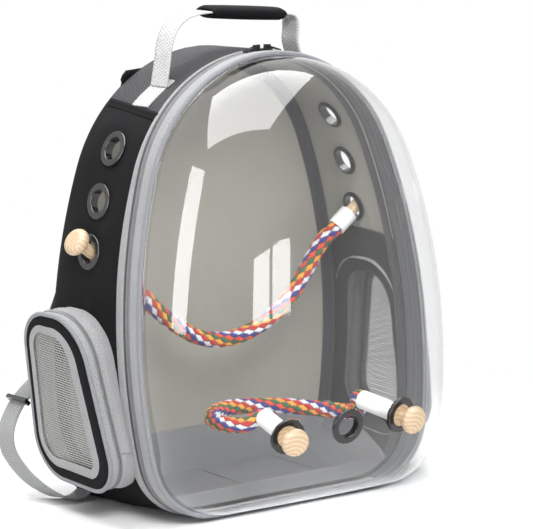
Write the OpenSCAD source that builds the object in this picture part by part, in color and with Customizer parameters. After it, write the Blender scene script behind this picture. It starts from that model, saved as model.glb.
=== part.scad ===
// Bird travel carrier: a backpack with a clear domed front that zips off, soft black sides with
// mesh pockets, eyelets that hold rope perches, a tray, a carry handle and two shoulder straps.
// Millimetres. The front faces -Y, up is +Z, and the origin is on the floor below the middle.

/* [Front rim] */
// Half of the width of the front rim
rim_half_w = 166; // [150:1:185]
// Height of the rim, measured along its leaning plane
rim_h = 427; // [405:1:450]
// Height at which the rim is widest
rim_mid_h = 146; // [130:1:165]
// Radius of the arch at the top of the rim
rim_top_r = 143; // [130:1:148]
// Radius of the two bottom corners
rim_corner_r = 66; // [50:1:80]
// Angle by which the rim plane leans back
rim_lean = 6; // [4:0.5:8]
// Height of the rim's lower edge above the floor
rim_lift = 5; // [5:0.5:7]

/* [Soft shell] */
// Depth of the back face behind the rim's lower edge
back_depth = 160; // [140:1:185]
// Distance back from the foot of the rim to the middle of the base, which is the origin
base_middle = 95; // [60:5:130]
// Thickness of the outer cloth
cloth_t = 1.2; // [0.8:0.1:1.6]
// Thickness of the lining and of the nets
lining_t = 0.8; // [0.5:0.1:1.2]
// Angle above level at which the side panels meet the top panel
seam_angle = 41; // [35:1:50]
// Height at which the side net ends and the side lining starts
net_top_h = 226; // [205:1:235]
// Width of the dark tape along the inner back seam
seam_tape_w = 14; // [8:1:20]

/* [Zip band] */
// Diameter of the piping round the dome
piping_d = 5; // [4:0.2:6]
// Width of the light band on the cover, from the flange back
cover_band_w = 12.3; // [10:0.1:13]
// Width of the light binding on the shell
binding_w = 13; // [11:0.5:15]
// Thickness of the bands and bindings
band_t = 1; // [0.6:0.1:1.4]
// Depth of the zip's centre line behind the rim plane
zip_depth = 18.5; // [18:0.1:19]
// Width of each half of the zip's coil
coil_w = 2.1; // [1.6:0.1:2.4]
// Height of the coil above its tape
coil_h = 1.65; // [1.2:0.05:1.9]
// Half length of the cloth hinge at the bottom, where there is no zip
hinge_half_l = 108; // [70:1:92]

/* [Dome] */
// How far the dome stands out of the rim plane at its middle
dome_bulge = 105; // [85:1:120]
// Height of the dome's middle along the rim plane
dome_mid_h = 208; // [190:1:225]
// Sheet thickness of the dome
dome_t = 1; // [0.8:0.1:1.5]
// Radius of the dome's front seen from above
dome_plan_r = 403; // [360:1:480]
// Radius of the dome's front seen from the side
dome_side_r = 1370; // [1200:10:1600]

/* [Eyelets and perches] */
// Diameter of the hole through an eyelet
eyelet_bore_d = 22; // [20:0.5:23]
// Outer diameter of an eyelet's flange
eyelet_d = 35; // [33:0.5:38]
// Outer diameter of an eyelet's inner washer
washer_d = 29; // [27:0.5:32]
// Heights of the side eyelets along the rim plane
side_eyelet_h = [254, 301, 349];
// Depths of the side eyelets behind the rim plane
side_eyelet_depth = [84, 78, 72];
// Distance of the outer front eyelets from the middle
front_eyelet_x = 66; // [60:1:72]
// Height of the front eyelets along the rim plane
front_eyelet_h = 80; // [72:1:92]
// Diameter of a perch rope
rope_d = 15; // [12:0.5:16]
// Diameter of the sleeve on a rope's end
ferrule_d = 18; // [17:0.5:19]
// Length of a side perch's sleeve
side_ferrule_l = 20; // [18:1:26]
// Length of a front perch's sleeve
front_ferrule_l = 44; // [38:1:46]
// Diameter of a wooden knob's head
knob_d = 27; // [25:0.5:30]
// Thickness of a wooden knob's head
knob_h = 13; // [10:0.5:15]
// Diameter of a wooden knob's stem
knob_stem_d = 11.5; // [10:0.5:12]
// Angle by which the side perch ends slope
side_perch_slope = 37; // [30:1:40]

/* [Tray] */
// Wall of the tray
tray_t = 1.6; // [1.2:0.1:2.4]
// Height of the tray's front lip
tray_lip_h = 17; // [12:1:22]
// Angle at which the tray's walls rise to the back
tray_rise = 13; // [8:1:15]

/* [Side pockets] */
// How far the pocket face stands off the side at its lower edge
pocket_low = 19; // [17:0.5:22]
// Angle by which the pocket face tips out toward its top
pocket_tip = 5.8; // [4:0.2:7]
// Diameter of the piping round a pocket face
pocket_piping_d = 4.4; // [3.6:0.2:5]
// Width of the black border of a pocket face
pocket_border_w = 14; // [10:1:18]
// Width of the light frame round the net
pocket_frame_w = 10; // [7:0.5:12]
// Width of the light band behind the piping
pocket_band_w = 6; // [5:0.5:7]
// Distance between the wires of the pocket net
net_pitch = 10; // [8:0.5:12]

/* [Carry handle] */
// Width of the handle's webbing
handle_web_w = 26; // [22:1:30]
// Thickness of the webbing
web_t = 1.6; // [1.2:0.1:2]
// Length of each free strap
handle_strap_l = 58; // [55:1:75]
// Angle above level of the fold where a strap leaves the top
handle_fold_angle = 56; // [52:1:60]
// Depth of the handle behind the rim plane
handle_depth = 57; // [54:1:70]
// Length of the padded grip
grip_l = 95; // [80:1:110]

// Thickness of the padded grip
grip_t = 12; // [10:0.5:16]

/* [Shoulder straps] */
// Width of a shoulder pad at its top
pad_w = 62; // [50:1:66]
// Width of a shoulder pad at its lower end
pad_end_w = 42; // [36:1:50]
// Thickness of a shoulder pad
pad_t = 11; // [8:0.5:13]
// Width of the shoulder webbing
strap_web_w = 25; // [20:1:27]

/* [Hidden] */
$fn = 96;
far = 600;
seat = 0.05;
slack = 0.3;

// Every arc of the rim is tangent to the next: corner, side, arch, side, corner.
arch_h = rim_h - rim_top_r;
rise = arch_h - rim_mid_h;
side_r = (rim_half_w * rim_half_w + rise * rise - rim_top_r * rim_top_r) / (2 * (rim_half_w - rim_top_r));
side_x = rim_half_w - side_r;
corner_x = side_x + sqrt(pow(side_r - rim_corner_r, 2) - pow(rim_mid_h - rim_corner_r, 2));
low_a = atan2(rim_corner_r - rim_mid_h, corner_x - side_x);
top_a = atan2(rise, -side_x);
function top_h(r) = arch_h + (rim_top_r + r) * sin(top_a);
function arc_points(cx, cy, r, a0, a1, n) =
  [for (i = [0:n - 1]) let(a = a0 + (a1 - a0) * i / n) [cx + r * cos(a), cy + r * sin(a)]];
function rim_arcs(r) = concat(
  arc_points(corner_x, rim_corner_r, rim_corner_r + r, -90, low_a, 9),
  arc_points(side_x, rim_mid_h, side_r + r, low_a, top_a, 9),
  arc_points(0, arch_h, rim_top_r + r, top_a, 180 - top_a, 22),
  arc_points(-side_x, rim_mid_h, side_r + r, 180 - top_a, 180 - low_a, 9),
  arc_points(-corner_x, rim_corner_r, rim_corner_r + r, 180 - low_a, 270, 9),
  [[-corner_x, -r]]);
function rim_points(r) = concat(rim_arcs(r),
  [for (i = [1:5]) [-corner_x + 2 * corner_x * i / 6, -r]]);

// Half width of the rim and the angle of its outward normal at a height along the rim plane.
function rim_angle(h) = h > top_h(0) ? asin((h - arch_h) / rim_top_r) : asin((h - rim_mid_h) / side_r);
function rim_x(h) = h > top_h(0) ? rim_top_r * cos(rim_angle(h)) : side_x + side_r * cos(rim_angle(h));

// The dome is a crowned front whose depth falls to nothing at the rim.
dome_inset = 3;
dome_edge = 0.533;
dome_round = 0.646;
flange_depth = 2.7;
dome_rim = rim_points(-dome_inset);
function cross2(a, b) = a[0] * b[1] - a[1] * b[0];
function reach(dir) = max([for (i = [0:len(dome_rim) - 1])
  let(a = dome_rim[i] - [0, dome_mid_h], b = dome_rim[(i + 1) % len(dome_rim)] - [0, dome_mid_h],
      e = b - a, k = cross2(dir, e), t = cross2(a, e) / k, s = cross2(a, dir) / k)
  if (t > 0 && s >= -0.001 && s <= 1.001) t]);
function crown(p) = dome_bulge - p[0] * p[0] / (2 * dome_plan_r) - pow(p[1] - dome_mid_h, 2) / (2 * dome_side_r);
function fall(q) = pow(max(0, 1 - pow(q, 2 / dome_edge)), dome_round / 2);
function dome_depth(p) = let(v = p - [0, dome_mid_h], l = norm(v) + 0.001) crown(p) * fall(l / reach(v / l));
function dome_slope(p) = [dome_depth(p + [1, 0]) - dome_depth(p - [1, 0]),
                          dome_depth(p + [0, 1]) - dome_depth(p - [0, 1])] / 2;

front_eyelets = [[-front_eyelet_x, front_eyelet_h], [0, front_eyelet_h], [front_eyelet_x, front_eyelet_h]];
eyelet_lip = 1.3;
barrel_l = 6;
washer_t = 1.2;

// Pocket outline: circles [depth, height, radius], front low, back low, back high, front high.
pocket_circles = [[66, 61, 31], [114, 73, 42], [121, 158, 36], [106, 145, 50]];
pocket_y0 = 25;
zip_in = pocket_band_w + 3.4;
net_inset = pocket_border_w + pocket_frame_w;

// Perch routes, from one sleeve to the other.
side_out = 10;
side_route = [[118, 110, 222], [104, 109, 207], [91, 108, 190], [76, 107, 174], [55, 106, 158],
  [30, 105, 147], [5, 105, 142], [-20, 105, 144], [-42, 106, 152], [-62, 107, 165], [-79, 108, 179],
  [-94, 109, 195], [-108, 110, 212]];
front_route = [[-66, -14, 92], [-72, 10, 88], [-66, 40, 86], [-46, 62, 86], [-16, 73, 84],
  [14, 73, 80], [44, 62, 77], [66, 40, 75], [72, 10, 78], [66, -14, 87]];

// Shoulder strap routes on the left side, mirrored for the right.
pad_route = [[-48, 166.2, 394], [-50, 170, 366], [-58, 183, 322], [-74, 192, 274], [-91, 197, 228],
  [-109, 200, 182], [-127, 201, 146], [-139, 201, 120]];
web_route = [[-147, 201, 112.5], [-168, 203, 98], [-186, 203, 82], [-198, 200, 63], [-199, 195, 44],
  [-193, 182, 24], [-184, 166, 11], [-172, 152, 4], [-158, 147.5, 2], [-148, 147, 2.6]];

black = [0.09, 0.09, 0.1];
light_gray = [0.72, 0.73, 0.75];
mid_gray = [0.45, 0.46, 0.48];
dark_gray = [0.25, 0.25, 0.27];
khaki = [0.7, 0.69, 0.62];
wood = [0.86, 0.73, 0.57];

// ---- Frames and outlines ----

// Local X across, local Y up along the rim plane, local Z out of the front.
// The origin is on the floor under the middle of the base.
module place() translate([0, -base_middle, 0]) children();
module rim_frame() translate([0, 0, rim_lift]) rotate([90 - rim_lean, 0, 0]) children();
module egg(r) polygon(rim_arcs(r));
module rim_ring(r0, r1, d0, d1)
  rim_frame() translate([0, 0, -d1]) linear_extrude(d1 - d0) difference() { egg(r1); egg(r0); }
module rim_prism(r, d0, d1) rim_frame() translate([0, 0, -d1]) linear_extrude(d1 - d0) egg(r);
module sector(a0, a1) rim_frame() translate([0, 0, -far]) linear_extrude(2 * far)
  polygon([[0, arch_h], [far * cos(a0), arch_h + far * sin(a0)], [0, arch_h + far],
           [far * cos(a1), arch_h + far * sin(a1)]]);
module behind(y) translate([-far, y, -far]) cube([2 * far, far, 2 * far]);
module below(z) translate([-far, -far, z - far]) cube([2 * far, 2 * far, far]);
module above(z) translate([-far, -far, z]) cube([2 * far, 2 * far, far]);
module middle(x) translate([-x, -far, -far]) cube([2 * x, 2 * far, 2 * far]);
module side_half(s) translate([s > 0 ? 0 : -far, -far, -far]) cube([far, 2 * far, 2 * far]);

// A closed skin through rings of n points each, with fans over both ends.
module skin(points, n) {
  m = len(points) / n;
  faces = concat(
    [for (j = [0:m - 2], i = [0:n - 1]) [j * n + i, (j + 1) * n + i, j * n + (i + 1) % n]],
    [for (j = [0:m - 2], i = [0:n - 1]) [j * n + (i + 1) % n, (j + 1) * n + i, (j + 1) * n + (i + 1) % n]],
    [for (i = [1:n - 2]) [0, i, i + 1]],
    [for (i = [1:n - 2]) [(m - 1) * n, (m - 1) * n + i + 1, (m - 1) * n + i]]);
  polyhedron(points, faces);
}
// The same, closed end to end.
module loop_skin(points, n) {
  m = len(points) / n;
  faces = concat(
    [for (j = [0:m - 1], i = [0:n - 1]) [j * n + i, ((j + 1) % m) * n + i, j * n + (i + 1) % n]],
    [for (j = [0:m - 1], i = [0:n - 1])
      [j * n + (i + 1) % n, ((j + 1) % m) * n + i, ((j + 1) % m) * n + (i + 1) % n]]);
  polyhedron(points, faces);
}
function unit(v) = v / norm(v);
function tangent(route, i) = unit(route[min(i + 1, len(route) - 1)] - route[max(i - 1, 0)]);
function sweep_points(route, shape, up) = [for (i = [0:len(route) - 1])
  let(t = tangent(route, i), side = unit(cross(t, up)), lift = cross(side, t))
  for (p = shape[min(i, len(shape) - 1)]) route[i] + side * p[0] + lift * p[1]];
function round_shape(r, n) = [for (k = [0:n - 1]) [r * cos(-360 * k / n), r * sin(-360 * k / n)]];
function piping_points(rim, r, n) = [for (i = [0:len(rim) - 1])
  let(t = unit(rim[(i + 1) % len(rim)] - rim[(i - 1 + len(rim)) % len(rim)]))
  for (k = [0:n - 1]) [rim[i][0] + t[1] * r * cos(360 * k / n), rim[i][1] - t[0] * r * cos(360 * k / n),
                       r * sin(360 * k / n)]];

// ---- Soft shell ----

module shell_layer(r, t, d0, y1) difference() {
  rim_ring(r - t, r, d0, far / 2);
  behind(y1);
  below(0);
}
panel_d0 = zip_depth + 11.7;
// The side panels meet the base just past the start of the corners.
base_half_w = corner_x + 3;
inner_r = -cloth_t - seat;
lining_r = inner_r - lining_t;
back_in = back_depth - cloth_t;
module top_sector() sector(seam_angle, 180 - seam_angle);
module pocket_window(s) pocket_place(s) translate([0, 0, -90]) linear_extrude(100) pocket_outline(-16);
module side_panel(s) color(black) difference() {
  intersection() {
    shell_layer(0, cloth_t, panel_d0, back_in);
    side_half(s);
  }
  middle(base_half_w);
  top_sector();
  pocket_window(s);
  for (i = [0:2]) at_side_eyelet(s, i) cylinder(d = eyelet_bore_d + 2.6, h = 30, center = true);
}
module top_panel() color(black) intersection() {
  shell_layer(0, cloth_t, panel_d0, back_in);
  top_sector();
}
module back_panel() color(black) intersection() {
  rim_prism(0, 0, far / 2);
  translate([-far, back_in, 0]) cube([2 * far, cloth_t, far]);
}
module base_panel() color(black) {
  intersection() {
    union() {
      shell_layer(0, cloth_t, panel_d0, back_in);
      difference() {
        rim_prism(-cloth_t, panel_d0, far / 2);
        behind(back_in);
        above(cloth_t);
        below(0);
      }
    }
    union() {
      intersection() {
        middle(base_half_w);
        below(rim_corner_r);
      }
      rim_prism(-cloth_t - seat, 0, far / 2);
    }
  }
}
module back_lining() color(khaki) intersection() {
  rim_prism(inner_r, 0, far / 2);
  translate([-far, back_in - seat - lining_t, cloth_t + slack]) cube([2 * far, lining_t, far]);
}
lining_y1 = back_in - lining_t - 2 * seat;
module lining_layer() difference() {
  shell_layer(inner_r, lining_t, panel_d0, lining_y1);
  below(cloth_t + slack);
}
module side_lining(s) color(khaki) difference() {
  intersection() {
    lining_layer();
    side_half(s);
    above(net_top_h);
  }
  top_sector();
  for (i = [0:2]) at_side_eyelet(s, i) cylinder(d = eyelet_bore_d + 2.6, h = 30, center = true);
}
module top_lining() color(khaki) intersection() {
  lining_layer();
  top_sector();
}
module inner_net(s) color([0.6, 0.6, 0.58]) difference() {
  intersection() {
    lining_layer();
    side_half(s);
  }
  middle(base_half_w);
  above(net_top_h - seat);
}
module inner_bindings() color(dark_gray) {
  difference() {
    rim_ring(lining_r - seat - lining_t, lining_r - seat, panel_d0 + 1, panel_d0 + 12);
    below(cloth_t + slack);
  }
  intersection() {
    translate([-far, lining_y1 - lining_t, cloth_t + slack]) cube([2 * far, lining_t, far]);
    rim_ring(lining_r - seat - seam_tape_w, lining_r - seat, 0, far / 2);
  }
}

// ---- Zip band ----

tape_t = 0.7;
coil_gap = 0.2;
module hinge_zone() intersection() {
  middle(hinge_half_l);
  below(rim_lift + 12);
}
module binding_ring(d0, d1) rim_ring(seat, seat + band_t, d0, d1);
module rim_binding() color(light_gray) {
  binding_ring(zip_depth + 4.5, zip_depth + 4.5 + binding_w);
  intersection() {
    binding_ring(zip_depth + coil_gap, zip_depth + 5);
    hinge_zone();
  }
}
module zip_half(d0, d1, c0) difference() {
  union() {
    rim_ring(-tape_t, 0, d0, d1);
    rim_ring(-0.2, coil_h, c0, c0 + coil_w);
  }
  hinge_zone();
}
module shell_zip() color(mid_gray)
  zip_half(zip_depth + coil_gap, panel_d0 - seat, zip_depth + coil_gap);
module cover_zip() color(mid_gray)
  zip_half(zip_depth - 10, zip_depth - coil_gap, zip_depth - coil_gap - coil_w);
module cover_band() color(light_gray) {
  binding_ring(flange_depth, flange_depth + cover_band_w);
  intersection() {
    binding_ring(flange_depth + cover_band_w - 1, zip_depth - coil_gap);
    hinge_zone();
  }
}
module cover_facing() color(dark_gray)
  rim_ring(-tape_t - seat - lining_t, -tape_t - seat, flange_depth + dome_t + 0.2, zip_depth - 5);
module cover_piping() color([0.55, 0.56, 0.58]) rim_frame()
  loop_skin(piping_points(rim_points(-0.2), piping_d / 2, 8), 8);

// ---- Dome ----

dome_steps = [for (k = [1:9]) 90 - 10 * k];
function dome_ring(rim, inset_h, a) = [for (p = rim)
  let(q = pow(cos(a), dome_edge), v = [p[0] * q, dome_mid_h + (p[1] - dome_mid_h) * q])
  [v[0], v[1], a <= 0 ? 0 : (crown(v) - inset_h) * pow(sin(a), dome_round)]];
function flat_ring(r, depth) = [for (p = rim_points(r)) [p[0], p[1], -depth]];
module cover_dome() color([0.8, 0.85, 0.88, 0.4]) difference() {
  rim_frame() {
    outer = dome_rim;
    inner = rim_points(-dome_inset - dome_t);
    n = len(outer);
    rings = concat(
      [for (a = dome_steps) each dome_ring(outer, 0, a)],
      flat_ring(-dome_inset, flange_depth), flat_ring(0, flange_depth),
      flat_ring(0, flange_depth + dome_t), flat_ring(-dome_inset - dome_t, flange_depth + dome_t),
      [for (k = [len(dome_steps) - 1:-1:0]) each dome_ring(inner, dome_t, dome_steps[k])]);
    m = len(rings) / n;
    tip = [0, dome_mid_h, dome_bulge];
    faces = concat(
      [for (j = [0:m - 2], i = [0:n - 1]) [j * n + i, (j + 1) * n + i, j * n + (i + 1) % n]],
      [for (j = [0:m - 2], i = [0:n - 1])
        [j * n + (i + 1) % n, (j + 1) * n + i, (j + 1) * n + (i + 1) % n]],
      [for (i = [0:n - 1]) [m * n, i, (i + 1) % n]],
      [for (i = [0:n - 1]) [m * n + 1, (m - 1) * n + (i + 1) % n, (m - 1) * n + i]]);
    polyhedron(concat(rings, [tip, tip - [0, 0, dome_t]]), faces);
  }
  for (p = front_eyelets) at_dome(p) cylinder(d = eyelet_bore_d + 2.6, h = 40, center = true);
}

// ---- Eyelets ----

// Local Z leaves the dome along its outward normal.
module at_dome(p) {
  g = dome_slope(p);
  n = unit([-g[0], -g[1], 1]);
  rim_frame() translate([p[0], p[1], dome_depth(p)])
    rotate([asin(-n[1]), atan2(n[0], n[2]), 0]) children();
}
// Local Z leaves the side panel along its outward normal.
module at_side_eyelet(s, i) {
  a = rim_angle(side_eyelet_h[i]);
  rim_frame() translate([s * rim_x(side_eyelet_h[i]), side_eyelet_h[i], -side_eyelet_depth[i]])
    rotate([0, 0, s > 0 ? a : 180 - a]) rotate([0, 90, 0]) children();
}
module round_band(r0, r1, t) {
  translate([r0 + t, t]) circle(t, $fn = 24);
  translate([r1 - t, t]) circle(t, $fn = 24);
  translate([r0 + t, 0]) square([r1 - r0 - 2 * t, 2 * t]);
}
// Flange on the outside, barrel through the wall, which lies from -wall to 0.
module eyelet(wall) {
  rotate_extrude() translate([0, 0.1]) round_band(eyelet_bore_d / 2, eyelet_d / 2, eyelet_lip);
  translate([0, 0, -wall - washer_t - 1]) difference() {
    cylinder(d = eyelet_bore_d + 2, h = wall + washer_t + 2);
    translate([0, 0, -1]) cylinder(d = eyelet_bore_d, h = wall + washer_t + 4);
  }
}
module washer(wall) translate([0, 0, -wall - washer_t]) difference() {
  cylinder(d = washer_d, h = washer_t);
  translate([0, 0, -1]) cylinder(d = eyelet_bore_d + 2.4, h = washer_t + 2);
}
// The wall bends away from a flat washer, most at the top one.
function side_wall(i) = cloth_t + seat + lining_t + 0.3
  + pow(washer_d / 2, 2) / (side_eyelet_h[i] > top_h(0) ? 2 * rim_top_r : 2 * side_r);
module side_eyelets() color(black) for (s = [-1, 1], i = [0:2]) at_side_eyelet(s, i)
  translate([0, 0, 0.3]) eyelet(side_wall(i) + 0.5);
module side_washers() color(dark_gray) for (s = [-1, 1], i = [0:2]) at_side_eyelet(s, i)
  washer(side_wall(i));
front_wall = dome_t + 1.4;
module front_eyelets() color(black) for (p = front_eyelets) at_dome(p) translate([0, 0, 0.3])
  eyelet(front_wall + 0.3);
module front_washers() color(black) for (p = front_eyelets) at_dome(p) washer(front_wall);

// ---- Perches ----

// A perch end: local Z points out of the carrier through the middle of its eyelet.
module at_side_perch(s) {
  h = side_eyelet_h[0];
  rim_frame() translate([s * rim_x(h), h, -side_eyelet_depth[0]])
    rotate([rim_lean, 0, 0]) rotate([0, 0, s > 0 ? side_perch_slope : 180 - side_perch_slope])
      rotate([0, 90, 0]) children();
}
module knob(out, in, neck_d) rotate_extrude() difference() {
  union() {
    translate([0, -in]) square([neck_d / 2, in + 2.4]);
    translate([0, -in]) square([knob_stem_d / 2, in + out + 2]);
    intersection() {
      translate([0, out]) square([knob_d / 2, knob_h]);
      translate([0, out + knob_h / 2]) union() {
        translate([knob_d / 2 - knob_h / 2, 0]) circle(knob_h / 2);
        translate([0, -knob_h / 2]) square([knob_d / 2 - knob_h / 2, knob_h]);
      }
    }
  }
  translate([-far, -far]) square([far, 2 * far]);
}
module ferrule(start, l) translate([0, 0, -start - l]) rotate_extrude() difference() {
  square([ferrule_d / 2, l]);
  translate([ferrule_d / 2 - 0.8, l - 0.8]) difference() {
    square(1);
    circle(0.8, $fn = 24);
  }
  translate([0, l - 1.5]) square([knob_stem_d / 2 - 1, 2]);
}
module side_knob(s) color(wood) at_side_perch(s) knob(13, side_out - slack, knob_stem_d);
module side_perch_ferrules() color("white") for (s = [-1, 1]) at_side_perch(s)
  ferrule(side_out, side_ferrule_l);
module front_knob(s) color(wood) at_dome([s * front_eyelet_x, front_eyelet_h]) knob(11, front_start - slack, eyelet_bore_d - 2 * slack);
front_start = 5;
module front_perch_ferrules() color("white") for (s = [-1, 1])
  at_dome([s * front_eyelet_x, front_eyelet_h]) ferrule(front_start, front_ferrule_l);

// World points from rim plane points: across, height along the plane, distance out of it.
function world(p) = [p[0], -p[2] * cos(rim_lean) + p[1] * sin(rim_lean),
                     rim_lift + p[1] * cos(rim_lean) + p[2] * sin(rim_lean)];
function side_end(s, l) = world([s * rim_x(side_eyelet_h[0]), side_eyelet_h[0], -side_eyelet_depth[0]])
  - l * [s * cos(side_perch_slope), 0, sin(side_perch_slope)];
function front_end(s, l) = let(p = [s * front_eyelet_x, front_eyelet_h], g = dome_slope(p),
  n = unit([-g[0], -g[1], 1])) world([p[0], p[1], dome_depth(p)] - l * n);
side_l = side_out + side_ferrule_l;
front_l = front_start + front_ferrule_l;
side_rope = concat([side_end(1, side_l + 0.05), side_end(1, side_l + 6)], side_route,
                   [side_end(-1, side_l + 6), side_end(-1, side_l + 0.05)]);
front_rope = concat([front_end(-1, front_l + 0.05), front_end(-1, front_l + 6)], front_route,
                    [front_end(1, front_l + 6), front_end(1, front_l + 0.05)]);
module side_perch_rope() color("tomato")
  skin(sweep_points(side_rope, [round_shape(rope_d / 2, 10)], [0, 1, 0]), 10);
module front_perch_rope() color("tomato")
  skin(sweep_points(front_rope, [round_shape(rope_d / 2, 10)], [0, 0, 1]), 10);

// ---- Tray ----

tray_r = lining_r - 2 * seat - lining_t - 0.4;
tray_z = cloth_t + seat;
tray_y1 = lining_y1 - lining_t - 0.4;
tray_d0 = panel_d0 + 2;
module tray_body(grow, floor_z) difference() {
  rim_prism(tray_r - grow, tray_d0 + grow, far / 2);
  behind(tray_y1 - grow);
  below(floor_z);
}
module floor_tray() color([0.62, 0.63, 0.65]) difference() {
  tray_body(0, tray_z);
  difference() {
    tray_body(tray_t, tray_z + tray_t);
    translate([-1, tray_d0, tray_z]) cube([2, back_depth - tray_d0 - 12, tray_t + 0.8]);
    for (s = [-1, 1]) translate([s * 86 - 1, tray_d0, tray_z])
      cube([2, back_depth - tray_d0 - 12, tray_t + 0.8]);
  }
  translate([-far, tray_d0, tray_z + tray_lip_h]) rotate([tray_rise, 0, 0])
    translate([0, -far, 0]) cube([2 * far, 2 * far, far]);
}

// ---- Side pockets ----

// Tangent points of two circles in turn, for an outline that runs anticlockwise.
function tangent_a(a, b) = let(v = [b[0] - a[0], b[1] - a[1]])
  atan2(v[1], v[0]) - 90 + asin((a[2] - b[2]) / norm(v));
function on_circle(c, r, a) = [c[0] + (c[2] + r) * cos(a), c[1] + (c[2] + r) * sin(a)];
function turn_from(a, b) = b < a ? b + 360 : b;
function pocket_points(r) = [for (i = [0:3])
  let(c = pocket_circles[i], a0 = tangent_a(pocket_circles[(i + 3) % 4], c),
      a1 = turn_from(a0, tangent_a(c, pocket_circles[(i + 1) % 4])))
  for (k = [0:9]) on_circle(c, r, a0 + (a1 - a0) * k / 9)];
module pocket_outline(r) polygon(pocket_points(r));
// Local X runs back, local Y up and local Z out of the side; the face is at zero.
pocket_x = rim_half_w + pocket_low;
module pocket_place(s) mirror([s > 0 ? 0 : 1, 0, 0]) rotate([90, 0, 90])
  translate([0, pocket_y0, pocket_x]) rotate([pocket_tip, 0, 0]) translate([0, -pocket_y0, 0])
    children();
module pocket_ring(r0, r1, z0, z1) translate([0, 0, z0]) linear_extrude(z1 - z0) difference() {
  pocket_outline(r1);
  pocket_outline(r0);
}
module pocket_face(s) color(black) pocket_place(s)
  pocket_ring(-pocket_border_w - 5, -pocket_piping_d / 2 - 0.3, -cloth_t, 0);
pocket_coil_r = coil_h - 0.2;
module pocket_piping(s) color([0.55, 0.56, 0.58]) pocket_place(s) translate([0, 0, -0.4])
  loop_skin(piping_points(pocket_points(-0.2), pocket_piping_d / 2, 8), 8);
module pocket_trim(s) color(light_gray) pocket_place(s) {
  pocket_ring(-net_inset, -pocket_border_w, seat, seat + band_t);
  pocket_ring(-0.2 - band_t, -0.2, -zip_in, -pocket_piping_d / 2 - 0.4);
  pocket_ring(-1.4, pocket_coil_r, -zip_in - coil_w, -zip_in + 0.4);
}
module pocket_wall(s) color(light_gray) difference() {
  pocket_place(s) {
    pocket_ring(-0.2 - band_t, -0.2, -80, -zip_in - coil_w - coil_gap * 2);
    pocket_ring(-1.4, pocket_coil_r, -zip_in - 2 * coil_w - coil_gap * 2, -zip_in - coil_w - coil_gap * 2);
  }
  rim_prism(seat, 0, far / 2);
  rim_prism(band_t + 2 * seat, 0, zip_depth + 4.5 + binding_w + slack);
}
// A flat net: rows of slots that leave wires between them, each row half a pitch on.
net_slot = net_pitch - 1.6;
module net_holes() for (j = [-1:16], i = [-1:9])
  translate([30 + (i + (j % 2 == 0 ? 0 : 0.5)) * net_pitch * 1.35, 30 + j * net_pitch])
    circle(d = net_slot, $fn = 6);
module pocket_net(s) color([0.62, 0.62, 0.58]) pocket_place(s)
  translate([0, 0, -cloth_t - seat - lining_t]) linear_extrude(lining_t) difference() {
    pocket_outline(-pocket_border_w - 1);
    intersection() {
      net_holes();
      pocket_outline(-net_inset - 2);
    }
  }

// ---- Zip sliders ----

slider_l = 11;
slider_w = 8.4;
slider_top = coil_h + slack + 1.4;
pull_h = slider_top + 2.3;
pull_tilt = 15;
// Local X along the zip, local Y toward the half that parts, local Z off the tape. The side
// toward the parting half is open, so its coil can leave.
module slider() {
  difference() {
    translate([-slider_l / 2, -slider_w / 2, slack]) cube([slider_l, slider_w, slider_top - slack]);
    translate([-slider_l, -coil_w - coil_gap - slack, -1]) cube([2 * slider_l, slider_w, coil_h + slack + 1]);
    for (s = [-1, 1]) translate([slider_l / 2, s * slider_w / 2, 0]) cylinder(r = 2.4, h = 10, $fn = 32);
  }
  difference() {
    translate([-3.5, -1.2, slider_top - 0.2]) cube([7, 2.4, 4]);
    translate([0, 0, pull_h]) rotate([90, 0, 0]) cylinder(d = 2, h = 4, center = true, $fn = 32);
  }
}
module pull() translate([0, 0, pull_h]) rotate([0, pull_tilt, 0]) {
  rotate([90, 0, 0]) cylinder(d = 1.4, h = 6, center = true, $fn = 32);
  for (s = [-1, 1]) translate([-0.7, s * 2.4 - 0.6, -0.6]) cube([6.2, 1.2, 1.2]);
  difference() {
    translate([5, -3.5, -0.6]) cube([9.5, 7, 1.2]);
    translate([11.5, 0, -1]) cylinder(d = 3.2, h = 3, $fn = 32);
  }
}
// Two sliders meet a little right of the top, with their pulls pointing apart.
slider_a = [87.6, 82.8];
module at_slider(i) rim_frame() translate([0, arch_h, -zip_depth]) rotate(slider_a[i])
  translate([rim_top_r, 0, 0]) rotate([0, 90, 0]) rotate([0, 0, 90]) mirror([i, 0, 0]) children();
module zip_slider(i) color(dark_gray) at_slider(i) slider();
module zip_pull(i) color(dark_gray) at_slider(i) pull();
// The pocket sliders rest at the back of each pocket, where the zip turns its upper corner.
pocket_slider_a = 20;
module pocket_sliders() color(dark_gray) for (s = [-1, 1]) pocket_place(s)
  translate([pocket_circles[2][0], pocket_circles[2][1], -zip_in - coil_w - coil_gap])
    rotate(pocket_slider_a) translate([pocket_circles[2][2] - 0.2, 0, 0])
      rotate([0, 90, 0]) rotate([0, 0, 90]) slider();

// ---- Carry handle ----

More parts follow.
